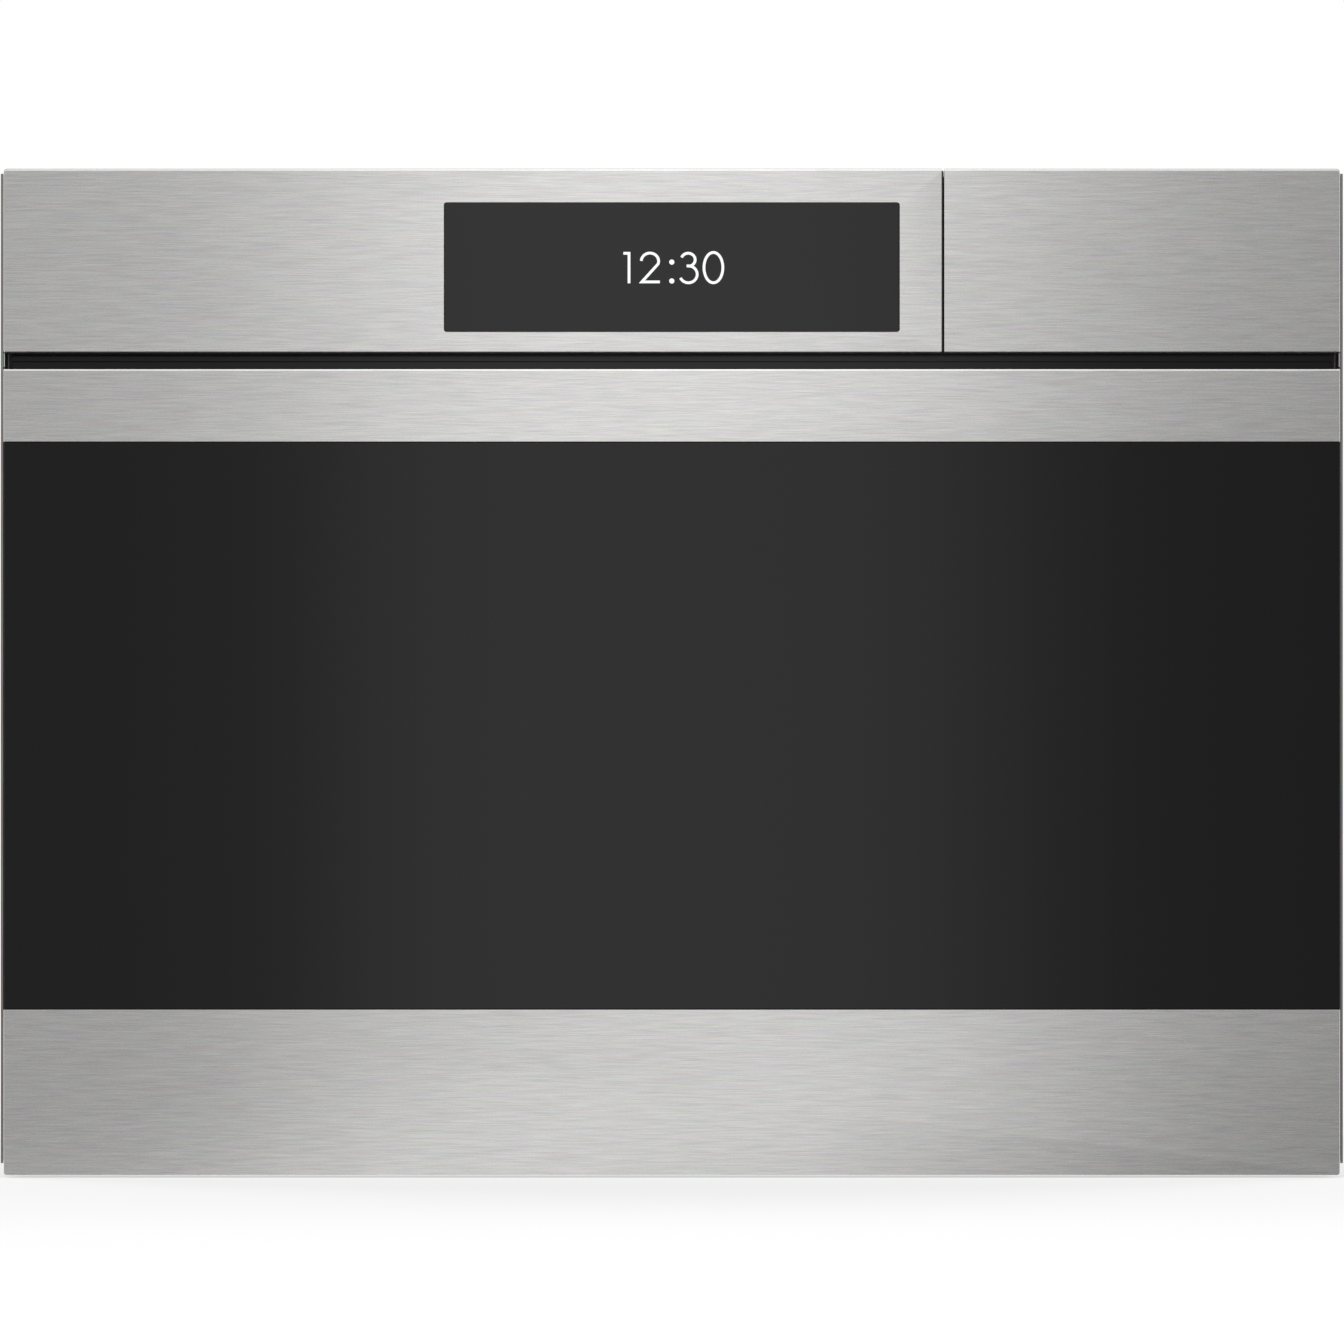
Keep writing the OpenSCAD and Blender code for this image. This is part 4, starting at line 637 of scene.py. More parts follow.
def display():
    bm = bmesh.new()
    plate(bm, glass_lo.x, glass_hi.x, glass_lo.y - 0.1 * MM, glass_hi.y, glass_lo.z, glass_hi.z,
          WINDOW_R, 0.25 * MM)
    finish_piece("display_pane", bm, "chassis", display_glass, ("display_glass",))


def split_seal():
    """Rubber lip on the fascia's end, which closes the view into the gap beside the drawer."""
    bm = bmesh.new()
    x = fascia_hi.x
    plate(bm, x - 0.1 * MM, x + 0.65 * MM, behind(1.2), behind(17.5),
          fascia_lo.z + 0.3 * MM, fascia_hi.z - 0.9 * MM, 0.2 * MM, 0.2 * MM, 2)
    finish_piece("split_seal", bm, "chassis", seal_rubber)


def strip(name, corner, crown, ledge=0.0):
    """A door strip; with a ledge, its upper edge reaches that many millimetres back."""
    lo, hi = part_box(name)
    bm = bmesh.new()
    folded_sheet(bm, lo.x, hi.x, lo.z, hi.z, STRIP_FOLD, corner, crown=crown)
    if ledge:
        plate(bm, lo.x, hi.x, behind(0.9), behind(ledge), hi.z - SHEET, hi.z, 0.2 * MM, 0.2 * MM)
    finish_piece(name + "_sheet", bm, "door", SHEET_STEEL, (name,))


def outer_pane():
    lo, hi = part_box("door_outer_glass")
    bm = bmesh.new()
    plate(bm, lo.x, hi.x, FRONT + 0.12 * MM, hi.y, lo.z, hi.z, 0.4 * MM, 0.3 * MM)
    finish_piece("outer_pane", bm, "door", black_glass, ("door_outer_glass",))


control_fascia()
drawer_front()
display()
split_seal()
strip("door_top_trim", TIGHT_CORNER, UPPER_BEND, 33.0)
strip("door_bottom_trim", (TIGHT_CORNER, TIGHT_CORNER, CORNER, CORNER), FLAT_BEND)
outer_pane()


# Clock: thin strokes of one width, built from lines and arcs. Its sizes are in millimetres.

STROKE = 1.2
DIGIT_H = 13.9
BASELINE = 397.6
DIGIT_X = {"one": -22.0, "two": -14.3, "three": 3.2, "zero": 13.6}
DOT_R = 1.15
DOT_HEIGHTS = (1.0, 9.4)
CLOCK_FRONT = glass_lo.y - 0.14 * MM
CLOCK_BACK = glass_lo.y - 0.04 * MM


def arc(cx, cz, rx, rz, start, end, steps=28):
    turns = [radians(start + (end - start) * i / steps) for i in range(steps + 1)]
    return [(cx + rx * cos(a), cz + rz * sin(a)) for a in turns]


def stroke(bm, points, x, closed=False):
    """Ribbon of even width along a line of points, which stands x to the right of the middle."""
    n = len(points)
    sides = ([], [])
    for i, (px, pz) in enumerate(points):
        before = points[(i - 1) % n] if closed or i else None
        after = points[(i + 1) % n] if closed or i < n - 1 else None
        d0 = Vector((px - before[0], pz - before[1])).normalized() if before else None
        d1 = Vector((after[0] - px, after[1] - pz)).normalized() if after else None
        d0, d1 = d0 or d1, d1 or d0
        normal = Vector((-(d0 + d1).y, (d0 + d1).x)).normalized()
        reach = STROKE / 2 / max(normal.dot(Vector((-d1.y, d1.x))), 0.35)
        for side, sign in zip(sides, (1, -1)):
            side.append(((x + px + sign * reach * normal.x) * MM,
                         (BASELINE + pz + sign * reach * normal.y) * MM))
    left, right = sides
    rows = [[bm.verts.new(p) for p in ring_y(side, y)] for side, y in
            ((left, CLOCK_FRONT), (right, CLOCK_FRONT), (right, CLOCK_BACK), (left, CLOCK_BACK))]
    for row, other in zip(rows, rows[1:] + rows[:1]):
        for i in range(n if closed else n - 1):
            j = (i + 1) % n
            bm.faces.new((row[i], row[j], other[j], other[i]))
    if not closed:
        for i in (0, n - 1):
            bm.faces.new([row[i] for row in rows])


def clock():
    half, h = STROKE / 2, DIGIT_H
    waist = 7.7
    digits = {
        "one": [[(0.5, h - half), (3.0, h - half)], [(3.0, h), (3.0, 0)]],
        "two": [arc(4.6, h - 4.1, 3.85, 3.6, 178, -20) + [(1.0, half), (9.0, half)]],
        "three": [arc(4.1, h - 3.45, 3.1, 2.9, 160, -82) + [(4.3, waist)],
                  [(3.4, waist)] + arc(4.2, 3.95, 3.9, 3.75, 88, -155)],
        "zero": [arc(4.9, h / 2, 4.2, 6.75, 0, 348.75, 31)],
    }
    for name, lines in digits.items():
        bm = bmesh.new()
        for line in lines:
            stroke(bm, line, DIGIT_X[name], closed=name == "zero")
        finish_piece("clock_" + name, bm, "chassis", digit_light)
    bm = bmesh.new()
    for height in DOT_HEIGHTS:
        turned(bm, (0, CLOCK_BACK, (BASELINE + height) * MM), AHEAD, [(DOT_R, 0), (DOT_R, 0.1)])
    finish_piece("clock_colon", bm, "chassis", digit_light)


clock()


# Door behind its glass

def glazing(name, node, border, corner):
    """Pane whose rim carries a printed black border."""
    lo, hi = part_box(node)
    edge = 0.5 * MM
    bm = bmesh.new()

    def outline(d, y):
        return ring_y(inset(lo.x, hi.x, lo.z, hi.z, corner, d), y)

    inner = inset(lo.x, hi.x, lo.z, hi.z, corner + border, border)
    front = [ring_y(inner, lo.y), outline(edge, lo.y)]
    back = [outline(edge, hi.y), ring_y(inner, hi.y)]
    rim = [front[1], outline(0, lo.y + edge), outline(0, hi.y - edge), back[0]]
    loft(bm, front, mat=GLAZING.index(frit))
    loft(bm, rim, mat=GLAZING.index(glass_edge))
    loft(bm, back, mat=GLAZING.index(frit))
    bmesh.ops.remove_doubles(bm, verts=bm.verts, dist=0.001 * MM)
    for y in (lo.y, hi.y):
        edges = [e for e in bm.edges
                 if e.is_boundary and all(abs(v.co.y - y) < 0.0001 * MM for v in e.verts)]
        bmesh.ops.contextual_create(bm, geom=edges)
    finish_piece(name, bm, "door", GLAZING, (node,))


finish_piece("door_frame_pressing", copied("door_frame", 0.3 * MM), "door",
             door_black, ("door_frame",))
glazing("inner_pane", "door_inner_glass", 32 * MM, 4 * MM)
glazing("middle_pane", "door_middle_glass", 6 * MM, 2 * MM)
dress("glass_retainers", hinge_steel, 0.3 * MM, 2)
dress("hinge_knuckles", hinge_steel, 0.3 * MM)


# Mouth of the oven

TRIM_T = 1.25 * MM
TRIM_BACK = 39.9
TRIM_RISE = 3.4 * MM
SLOT_TOP = 366.8
# Ends of the air slot: x, half width, front, back and bottom in millimetres, and material. The
# front ends are in the brighter steel, a painted highlight.
SLOT_ENDS = [(296.95, 0.25, 6.2, 8.0, 360.4, painted_highlight_steel),
             (296.4, 0.22, 34.8, 40.3, 346.0, trim_steel)]


def mounting_frame():
    """Flange with bright side trims, which reach higher than in the solid."""
    bm = copied("mounting_frame", 0.15 * MM)
    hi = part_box("mounting_frame")[1]
    for face in bm.faces:
        mid = face.calc_center_median()
        if abs(mid.x) > hi.x - TRIM_T and mid.y < behind(TRIM_BACK):
            face.material_index = FLANGE.index(trim_steel)
            for v in face.verts:
                if hi.z - 0.4 * MM < v.co.z < hi.z + 0.1 * MM:
                    v.co.z += TRIM_RISE
    for side in SIDES:
        for x, half, front, back, bottom, mat in SLOT_ENDS:
            plate(bm, (side * x - half) * MM, (side * x + half) * MM, behind(front), behind(back),
                  bottom * MM, SLOT_TOP * MM, 0.2 * MM, 0.15 * MM, 2, FLANGE.index(mat))
    finish_piece("flange_and_trim", bm, "chassis", FLANGE,
                 ("mounting_frame",))


# Section of the door's seal: distance outwards from its middle, and height, in millimetres
SEAL_FOOT = 4.0
SEAL_CORNER = 20
SEAL_ROWS = [(-4.0, 0), (-4.0, 1.0), (-2.4, 1.5), (-2.0, 2.2), (-2.45, 3.0), (-2.2, 4.2),
             (-1.2, 5.0), (0, 5.2), (1.2, 5.0), (2.2, 4.2), (2.45, 3.0), (2.0, 2.2), (2.4, 1.5),
             (4.0, 1.0), (4.0, 0)]


def seal():
    lo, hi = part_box("door_seal")
    rings = []
    for out, up in SEAL_ROWS:
        d = (SEAL_FOOT - out) * MM
        points = rounded(lo.x + d, hi.x - d, lo.z + d, hi.z - d, (SEAL_CORNER + out) * MM, 12)
        rings.append(ring_y(points, hi.y - up * MM))
    bm = bmesh.new()
    loft(bm, rings, loop=True)
    finish_piece("door_seal_lip", bm, "chassis", seal_rubber, ("door_seal",), 60)


# Two rows of slats: their number, the lowest one's foot, and a slat's height, front, back, corner
# radius and rounding
SLAT_ROWS = [(6, 347.3, 3.02, 36.6, 37.4, 0.2, 0.12), (5, 349.5, 1.6, 38.5, 39.2, 0.3, 0.2)]
SLAT_PITCH = 3.27
GRILLE_HW = 295
POSTS = range(-5, 6)
POST_PITCH = 58
POST_HW = 0.6


def outlet_grille():
    """Black slats before the cooling duct, which show in the slot between fascia and door.

    A second row of slats closes the gaps of the first, and posts stand behind them.
    """
    bm = bmesh.new()
    for count, lowest, height, front, back, corner, edge in SLAT_ROWS:
        for i in range(count):
            z = lowest + SLAT_PITCH * i
            plate(bm, -GRILLE_HW * MM, GRILLE_HW * MM, behind(front), behind(back),
                  z * MM, (z + height) * MM, corner * MM, edge * MM, 2)
    for i in POSTS:
        x = POST_PITCH * i
        plate(bm, (x - POST_HW) * MM, (x + POST_HW) * MM, behind(37.2), behind(40.2),
              347.1 * MM, 366.6 * MM, 0.2 * MM, 0.1 * MM, 1)
    finish_piece("outlet_grille", bm, "chassis", grille_black)


mounting_frame()
seal()
outlet_grille()


# Inside of the oven

INNER_X = 220 * MM
INNER_Z = (60 * MM, 322 * MM)
CAVITY_BACK = behind(430)


def on(value, *places):
    return any(abs(value - p) < 0.02 * MM for p in places)


def on_corner(edge, xs, zs):
    """True for an edge that runs from front to back along a corner, on either side."""
    return all(on(abs(v.co.x), *xs) and on(v.co.z, *zs) for v in edge.verts)


def on_border(edge, y, x, zs):
    """True for an edge in the plane y that bounds the rectangle from -x to x and over zs."""
    ends = [v.co for v in edge.verts]
    if not all(on(p.y, y) for p in ends):
        return False
    return all(on(abs(p.x), x) for p in ends) or any(all(on(p.z, z) for p in ends) for z in zs)


def cavity():
    def drawn(e):
        return on_corner(e, [INNER_X], INNER_Z) or on_border(e, CAVITY_BACK, INNER_X, INNER_Z)

    bm = copied("cavity", pick=drawn, size=6 * MM, steps=5)
    finish_piece("cavity_pressing", bm, "chassis", cavity_steel, ("cavity",), 30)


BAFFLE_SCREW_X, BAFFLE_SCREW_Z = 138 * MM, 100 * MM


def baffle():
    lo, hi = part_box("fan_baffle")
    ends = (lo.z, hi.z)

    def drawn(e):
        return on_border(e, lo.y, hi.x, ends) or on_corner(e, [hi.x], ends)

    bm = copied("fan_baffle", pick=drawn, size=2.5 * MM, steps=4)
    for sx in SIDES:
        for sz in SIDES:
            centre = (sx * BAFFLE_SCREW_X, lo.y, (lo.z + hi.z) / 2 + sz * BAFFLE_SCREW_Z)
            screw_head(bm, centre, AHEAD, 4.2, 1.6)
    finish_piece("fan_baffle_pressing", bm, "chassis", pan_steel,
                 ("fan_baffle",), 30)


PAN_CORNER = 26 * MM
PAN_WALL = 17.2
PAN_T = 1.2
HOLE_R = 2
HOLE_SIDES = 12
HOLES_X, HOLES_HW = 13, 170.8
HOLES_Y, HOLES_FRONT, HOLES_BACK = 9, behind(92), behind(334)


def pierce(bm, faces):
    """Fills two outlines, each with its height in millimetres, but for rows of round holes."""
    turns = [2 * pi * k / HOLE_SIDES for k in range(HOLE_SIDES)]
    both = []
    for z, outer in faces:
        rings = []
        for i in range(HOLES_X):
            x = -HOLES_HW + 2 * HOLES_HW * i / (HOLES_X - 1)
            for j in range(HOLES_Y):
                y = HOLES_FRONT + (HOLES_BACK - HOLES_FRONT) * j / (HOLES_Y - 1)
                rings.append([bm.verts.new(((x + HOLE_R * cos(a)) * MM, y + HOLE_R * MM * sin(a),
                                            z * MM)) for a in turns])
        edges = [bm.edges.get((a, b)) for a, b in zip(outer, outer[1:] + outer[:1])]
        edges += [bm.edges.new((a, b)) for ring in rings for a, b in zip(ring, ring[1:] + ring[:1])]
        bmesh.ops.triangle_fill(bm, use_beauty=True, use_dissolve=False, edges=edges)
        both.append(rings)
    for above, below in zip(*both):
        for k in range(HOLE_SIDES):
            j = (k + 1) % HOLE_SIDES
            bm.faces.new((above[k], above[j], below[j], below[k]))


def pan(node, holes=False):
    """Drawn pan; its rows are (distance from the rim, height) in millimetres, from inside out."""
    lo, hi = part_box(node)
    wall, t = PAN_WALL, PAN_T
    base, top = lo.z / MM, hi.z / MM
    rows = [(wall + 9, base + t), (wall + 6, base + t + 0.4), (wall + 2.6, base + t + 2.2),
            (wall + 0.9, base + t + 5.0), (wall, top - 2.6), (wall - 0.7, top - 0.8),
            (wall - 2.2, top), (1.0, top), (0.3, top - 0.3), (0.0, top - 0.9), (0.2, top - t),
            (wall - 3.0, top - t), (wall - 1.6, top - 2.2), (wall - 1.2, top - 3.2),
            (wall - 0.3, base + 6.0), (wall + 1.8, base + 2.4), (wall + 5.4, base + 0.4),
            (wall + 9, base)]
    rings = []
    for d, z in rows:
        points = inset(lo.x, hi.x, lo.y, hi.y, PAN_CORNER, d * MM, 8)
        rings.append([(x, y, z * MM) for x, y in points])
    bm = bmesh.new()
    verts = loft(bm, rings, caps=not holes)
    if holes:
        pierce(bm, ((rows[0][1], verts[0]), (rows[-1][1], verts[-1])))
    finish_piece(node + "_pressing", bm, body_of[node], pan_steel, (node,), 40)


def lamp_glass():
    lo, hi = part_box("lamp_lens")
    r = (hi.x - lo.x) / 2 / MM
    centre = ((lo.x + hi.x) / 2, (lo.y + hi.y) / 2, INNER_Z[1])
    bm = bmesh.new()
    turned(bm, centre, DOWN, [
        (r - 4.2, -4), (r - 4.2, 0), (r - 0.1, 0), (r, 0.8), (r - 0.4, 1.6), (r - 2.4, 2.1),
        (r - 3.4, 1.9), (r - 5.5, 2.2), (r - 10, 2.6), (r - 16, 2.9), (2, 3.0)], 48)
    finish_piece("lamp_glass", bm, "chassis", lens_glass, ("lamp_lens",), 25)


VENT_X, VENT_Z = 165 * MM, 258 * MM
VENT_R = 11.6
VENT_BAR_PITCH = 4.2
VENT_BAR_HW = 0.8


def vent_cover():
    """Slotted cover on the mouth of the steam vent in the back wall."""
    bm = bmesh.new()
    x, y, z = VENT_X, CAVITY_BACK, VENT_Z
    turned(bm, (x, y, z), AHEAD, [
        (12.2, -2.0), (12.2, 0.2), (17.4, 0.2), (17.4, 0.7), (16.8, 1.3), (12.6, 1.3),
        (11.2, 0.9), (11.2, -2.0)], 40, closed=True)
    for i in range(-2, 3):
        rise = VENT_BAR_PITCH * i
        half = (VENT_R ** 2 - rise ** 2) ** 0.5 * MM
        plate(bm, x - half, x + half, y - 0.9 * MM, y + 0.3 * MM, z + (rise - VENT_BAR_HW) * MM,
              z + (rise + VENT_BAR_HW) * MM, 0.3 * MM, 0.3 * MM, 2)
    finish_piece("vent_cover", bm, "chassis", pan_steel)


cavity()
baffle()
pan("solid_pan")
pan("perforated_pan", True)
lamp_glass()
vent_cover()
dress("sump_strainer", pan_steel, 0.3 * MM, 2)
repaint(chrome_wire, "rack_support_left", "rack_support_right", "wire_rack")
repaint(heater_metal, "ring_heater")
repaint(pan_steel, "temperature_sensor", "steam_pipe", "fan_shaft", "drain_sump", "fan_wheel")


# Casing. The places of its ribs, louvres and screws are in millimetres.

BASE_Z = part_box("outer_cover")[0].z / MM
SHOULDER = 1 * MM
FIRST_SLOT = 4


def cover():
    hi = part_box("outer_cover")[1]

    def shoulder(e):
        return on_corner(e, (hi.x, hi.x - SHOULDER), (hi.z, hi.z - SHOULDER))

    bm = copied("outer_cover", pick=shoulder, size=0.9 * MM, steps=3)
    for sx in SIDES:
        for z in (170, 320):
            rib(bm, (sx * hi.x, behind(290), z * MM), BACK, UP, 330)
    for y in (150, 400):
        rib(bm, (95 * MM, behind(y), hi.z), RIGHT, BACK, 300)
    for sx in SIDES:
        for i in range(LOUVRES):
            z = BASE_Z + 30 + LOUVRE_PITCH * i + FIRST_SLOT
            hood(bm, (sx * hi.x, behind(485), z * MM), BACK, DOWN)
    for i in range(LOUVRES):
        hood(bm, (-100 * MM, behind(495 - LOUVRE_PITCH * i + FIRST_SLOT), hi.z), RIGHT, AHEAD)
    finish_piece("casing_cover", bm, "chassis", casing_zinc, ("outer_cover",))


def back_panel():
    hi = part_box("rear_panel")[1]
    bm = copied("rear_panel")
    for x, z, length in ((0, 330, 340), (-60, 150, 240)):
        rib(bm, (x * MM, hi.y, z * MM), RIGHT, UP, length)
    for sx in SIDES:
        for i in range(LOUVRES):
            z = 191 + LOUVRE_PITCH * i + FIRST_SLOT
            hood(bm, (sx * 110 * MM, hi.y, z * MM), RIGHT, DOWN)
    finish_piece("back_panel", bm, "chassis", casing_zinc, ("rear_panel",))


SCREW_R, SCREW_H = 4.0, 1.3


def screws():
    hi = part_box("casing_screws")[1]
    bm = bmesh.new()
    for z in (BASE_Z + 12, 427):
        for sx in SIDES:
            for y in (71.5, 298.25, 543):
                centre = (sx * (hi.x - SCREW_H * MM), behind(y), z * MM)
                screw_head(bm, centre, (sx, 0, 0), SCREW_R, SCREW_H)
            for x in (90, 263):
                screw_head(bm, (sx * x * MM, behind(555), z * MM), BACK, SCREW_R, SCREW_H)
    finish_piece("casing_screw_heads", bm, "chassis", hinge_steel,
                 ("casing_screws",))


def terminal():
    """Terminal box with the nut of its cable inlet and two screws."""
    lo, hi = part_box("terminal_box")
    mid_x, mid_z = (lo.x + hi.x) / 2, (lo.z + hi.z) / 2
    back = hi.y - 6 * MM
    bm = copied("terminal_box", 0.8 * MM, 2)
    nut = [(9.9, -0.3), (12.4, 0), (12.4, 3.2), (11.8, 3.9), (9.9, 4.2)]
    turned(bm, (mid_x, back, mid_z), BACK, nut, 48, "hex")
    for sx in SIDES:
        screw_head(bm, (mid_x + sx * 27 * MM, back, mid_z + 18 * MM), BACK, 3.2, 1.2)
    finish_piece("terminal_box_moulding", bm, "chassis", black_plastic,
                 ("terminal_box",))


cover()
back_panel()
screws()
terminal()
dress("base_pan", casing_zinc, 0.4 * MM)


# Parts inside the casing and the drawer

dress("drawer_carriage", black_plastic, 0.4 * MM)
dress("water_tank", tank_plastic, 1.2 * MM, 3)
dress("tank_lid", grey_plastic, 0.8 * MM, 2)
dress("tank_bay", grey_plastic, 0.4 * MM)
dress("vent_duct", grey_plastic, 0)
dress("steam_generator", cast_metal, 0.6 * MM, 2)
dress("water_pump", black_plastic, 0.6 * MM, 2)
dress("display_module", black_plastic, 0.3 * MM)
dress("fascia_carrier", black_plastic, 0.3 * MM)
repaint(casing_zinc, "air_duct", "runner_outer", "runner_middle")
repaint(insulation, "cavity_insulation")
repaint(motor_metal, "fan_motor", "oven_lamp", "blower_motor", "hinge_springs")
repaint(circuit_board, "control_board")
repaint(black_plastic, "blower_housing", "door_opener", "door_switch", "blower_wheel")
repaint(hinge_steel, "hinge_arm_left", "hinge_arm_right")
repaint(grey_plastic, "vent_damper", "opener_rod", "switch_plunger")


# Studio

def studio_mesh(name, corners, mat):
    mesh = bpy.data.meshes.new(name)
    mesh.from_pydata(corners, [], [tuple(range(len(corners)))])
    mesh.materials.append(mat)
    obj = bpy.data.objects.new(name, mesh)
    bpy.context.scene.collection.objects.link(obj)
    return obj


def empty_material(name):
    mat = bpy.data.materials.new(name)
    mat.use_nodes = True
    mat.node_tree.nodes.clear()
    return mat, mat.node_tree.nodes, mat.node_tree.links


def seen_or_reflected(nodes, links):
    """1 for rays from the camera, a reflection or a transmission, and otherwise 0."""
    path = nodes.new("ShaderNodeLightPath")
    a = nodes.new("ShaderNodeMath")
    b = nodes.new("ShaderNodeMath")
    a.operation = b.operation = "MAXIMUM"
    links.new(path.outputs["Is Camera Ray"], a.inputs[0])
    links.new(path.outputs["Is Glossy Ray"], a.inputs[1])
    links.new(a.outputs[0], b.inputs[0])
    links.new(path.outputs["Is Transmission Ray"], b.inputs[1])
    return b.outputs[0]


SKY_LEVEL = 0.46


def world():
    """White to the eye and in reflections, and a plain grey light on everything."""
    sky = bpy.data.worlds.new("studio")
    bpy.context.scene.world = sky
    sky.use_nodes = True
    nodes, links = sky.node_tree.nodes, sky.node_tree.links
    back = nodes["Background"]
    mix = nodes.new("ShaderNodeMix")
    mix.data_type = "RGBA"
    lighting, seen = colour_sockets(mix.inputs)
    lighting.default_value = (SKY_LEVEL, SKY_LEVEL, SKY_LEVEL, 1)
    seen.default_value = (1, 1, 1, 1)
    links.new(seen_or_reflected(nodes, links), mix.inputs[0])
    links.new(colour_sockets(mix.outputs)[0], back.inputs["Color"])
    back.inputs["Strength"].default_value = 1.0


FLOOR_SIZE = 30
FLOOR_GREY = 0.9
# Distances from the middle, and how much of the floor's white is its own glow there. The rest
# is lit and keeps the shadow.
GLOW_NEAR, GLOW_FAR = (0.6, 0.6), (2.4, 1.0)


def floor():
    mat, nodes, links = empty_material("floor")
    out = nodes.new("ShaderNodeOutputMaterial")
    matt = nodes.new("ShaderNodeBsdfDiffuse")
    matt.inputs["Color"].default_value = (FLOOR_GREY, FLOOR_GREY, FLOOR_GREY, 1)
    glow = nodes.new("ShaderNodeEmission")
    glow.inputs["Color"].default_value = (1, 1, 1, 1)
    mix = nodes.new("ShaderNodeMixShader")
    share = nodes.new("ShaderNodeMath")
    share.operation = "MULTIPLY"
    place = nodes.new("ShaderNodeTexCoord")
    distance = nodes.new("ShaderNodeVectorMath")
    distance.operation = "LENGTH"
    near = nodes.new("ShaderNodeMapRange")
    near.inputs["From Min"].default_value, near.inputs["To Min"].default_value = GLOW_NEAR
    near.inputs["From Max"].default_value, near.inputs["To Max"].default_value = GLOW_FAR
    links.new(place.outputs["Object"], distance.inputs[0])
    links.new(distance.outputs["Value"], near.inputs["Value"])
    links.new(near.outputs["Result"], share.inputs[1])
    links.new(seen_or_reflected(nodes, links), share.inputs[0])
    links.new(share.outputs[0], mix.inputs[0])
    links.new(matt.outputs[0], mix.inputs[1])
    links.new(glow.outputs[0], mix.inputs[2])
    links.new(mix.outputs[0], out.inputs[0])
    s = FLOOR_SIZE
    studio_mesh("floor", [(-s, -s, 0), (s, -s, 0), (s, s, 0), (-s, s, 0)], mat)


# Levels of the white boards along X, which the steel and the glass of the front mirror. The lying
# board's are drawn in a little, and weaker on its right.
RAMP_HALF = 0.6
RAMP = [(-0.45, 0.47), (-0.33, 0.49), (-0.264, 0.54), (-0.223, 0.63), (-0.182, 0.81),
        (-0.141, 0.94), (-0.09, 1.0), (0.06, 0.98), (0.104, 0.95), (0.145, 0.87), (0.186, 0.73),
        (0.227, 0.585), (0.268, 0.475), (0.32, 0.42), (0.45, 0.35)]
FLOOR_RAMP = [(0.92 * x, level if x < 0.07 else 0.90 * level) for x, level in RAMP]
SOFT_RAMP = [(-0.45, 0.60), (-0.25, 0.66), (-0.10, 1.0), (0.10, 1.0), (0.25, 0.66), (0.45, 0.55)]
EVEN_RAMP = [(-RAMP_HALF, 1.0)]


def reflector(name, corners, gain, stops=EVEN_RAMP):
    """White board that only gloss shows; stops are its levels along X."""
    mat, nodes, links = empty_material(name)
    out = nodes.new("ShaderNodeOutputMaterial")
    glow = nodes.new("ShaderNodeEmission")
    place = nodes.new("ShaderNodeTexCoord")
    axes = nodes.new("ShaderNodeSeparateXYZ")
    span = nodes.new("ShaderNodeMapRange")
    ramp = nodes.new("ShaderNodeValToRGB")
    span.inputs["From Min"].default_value = -RAMP_HALF
    span.inputs["From Max"].default_value = RAMP_HALF
    glow.inputs["Strength"].default_value = gain
    links.new(place.outputs["Object"], axes.inputs[0])
    links.new(axes.outputs["X"], span.inputs["Value"])
    links.new(span.outputs["Result"], ramp.inputs[0])
    links.new(ramp.outputs["Color"], glow.inputs["Color"])
    links.new(glow.outputs[0], out.inputs[0])
    band = ramp.color_ramp
    band.interpolation = "LINEAR"
    while len(band.elements) < len(stops):
        band.elements.new(0.5)
    while len(band.elements) > len(stops):
        band.elements.remove(band.elements[-1])
    for element, (x, level) in zip(band.elements, stops):
        element.position = (x + RAMP_HALF) / (2 * RAMP_HALF)
        element.color = (level, level, level, 1)
    board = studio_mesh(name, corners, mat)
    board.visible_camera = board.visible_diffuse = board.visible_shadow = False
    board.visible_transmission = board.visible_volume_scatter = False


BOARD_X = 3.5


def wide_board(name, start, end, gain, stops=EVEN_RAMP):
    """Board over the whole width, from one (y, z) to another."""
    reflector(name, [(-BOARD_X, *start), (BOARD_X, *start), (BOARD_X, *end), (-BOARD_X, *end)],
              gain, stops)


def side_board(name, x, near, far, low, high, gain):
    reflector(name, [(x, near, low), (x, near, high), (x, far, high), (x, far, low)], gain)


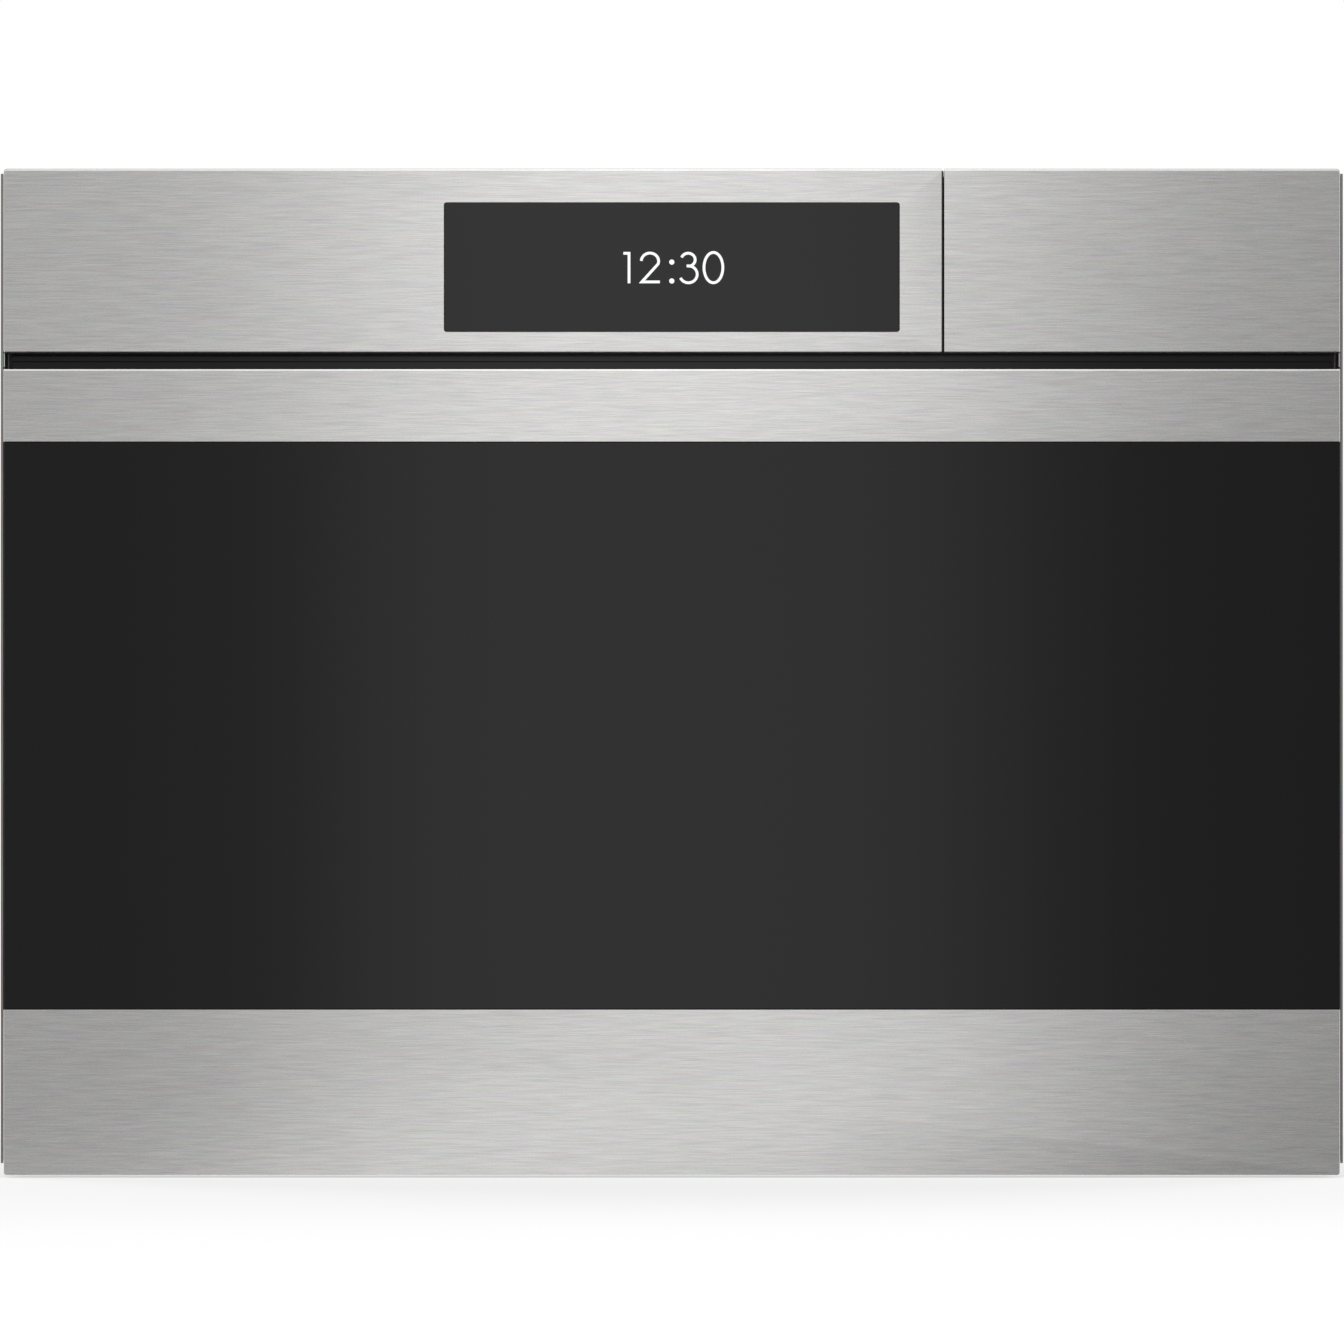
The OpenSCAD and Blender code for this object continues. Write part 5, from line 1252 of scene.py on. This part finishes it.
def boards():
    """Two boards stand and lie before the front, which mirrors them; the others close the room."""
    near, above, far = -2.2, -0.5, 3.0
    lying, foot, top, side_top, ceiling = 0.0005, 0.003, 1.6, 2.2, 2.6
    wide_board("front_board", (near, foot), (near, top), 1.0, RAMP)
    wide_board("floor_board", (behind(-0.3), lying), (near, lying), 0.62, FLOOR_RAMP)
    wide_board("upper_board", (near, top), (above, ceiling), 1.5, SOFT_RAMP)
    wide_board("ceiling_board", (above, ceiling), (far, ceiling), 0.35)
    side_board("left_board", -BOARD_X, near, above, foot, side_top, 0.30)
    side_board("right_board", BOARD_X, near, above, foot, side_top, 0.12)


LAMP_AIM = Vector((0, 0, 0.2))


def lamp(name, place, power, size):
    """Round area lamp that shines on the oven and shows in no reflection."""
    data = bpy.data.lights.new(name, "AREA")
    data.energy = power
    data.shape = "DISK"
    data.size = size
    obj = bpy.data.objects.new(name, data)
    aim = LAMP_AIM - Vector(place)
    obj.location = place
    obj.rotation_euler = aim.to_track_quat("-Z", "Y").to_euler()
    obj.visible_camera = obj.visible_glossy = False
    bpy.context.scene.collection.objects.link(obj)


CAMERA_AWAY = 6.0
CAMERA_X, CAMERA_Z = 0.0001, 0.22484
WIDTH_SEEN = 0.59722
SENSOR = 36


def camera():
    """Far before the middle of the front, so that the front's width fills the picture."""
    data = bpy.data.cameras.new("camera")
    data.sensor_width = SENSOR
    data.lens = SENSOR * CAMERA_AWAY / WIDTH_SEEN
    data.clip_end = 100
    obj = bpy.data.objects.new("camera", data)
    obj.location = (CAMERA_X, FRONT - CAMERA_AWAY, CAMERA_Z)
    obj.rotation_euler = (radians(90), 0, 0)
    bpy.context.scene.collection.objects.link(obj)
    bpy.context.scene.camera = obj


bpy.context.scene.view_settings.view_transform = "Standard"
world()
floor()
boards()
lamp("top", (0.0, -1.3, 3.0), 8, 1.4)
lamp("key", (-1.4, -3.0, 2.4), 46, 2.0)
lamp("fill", (2.2, -2.4, 1.4), 35, 2.0)
lamp("rear_left", (-2.4, 2.2, 2.2), 40, 2.0)
lamp("rear_right", (2.2, 2.4, 2.4), 40, 2.0)
camera()
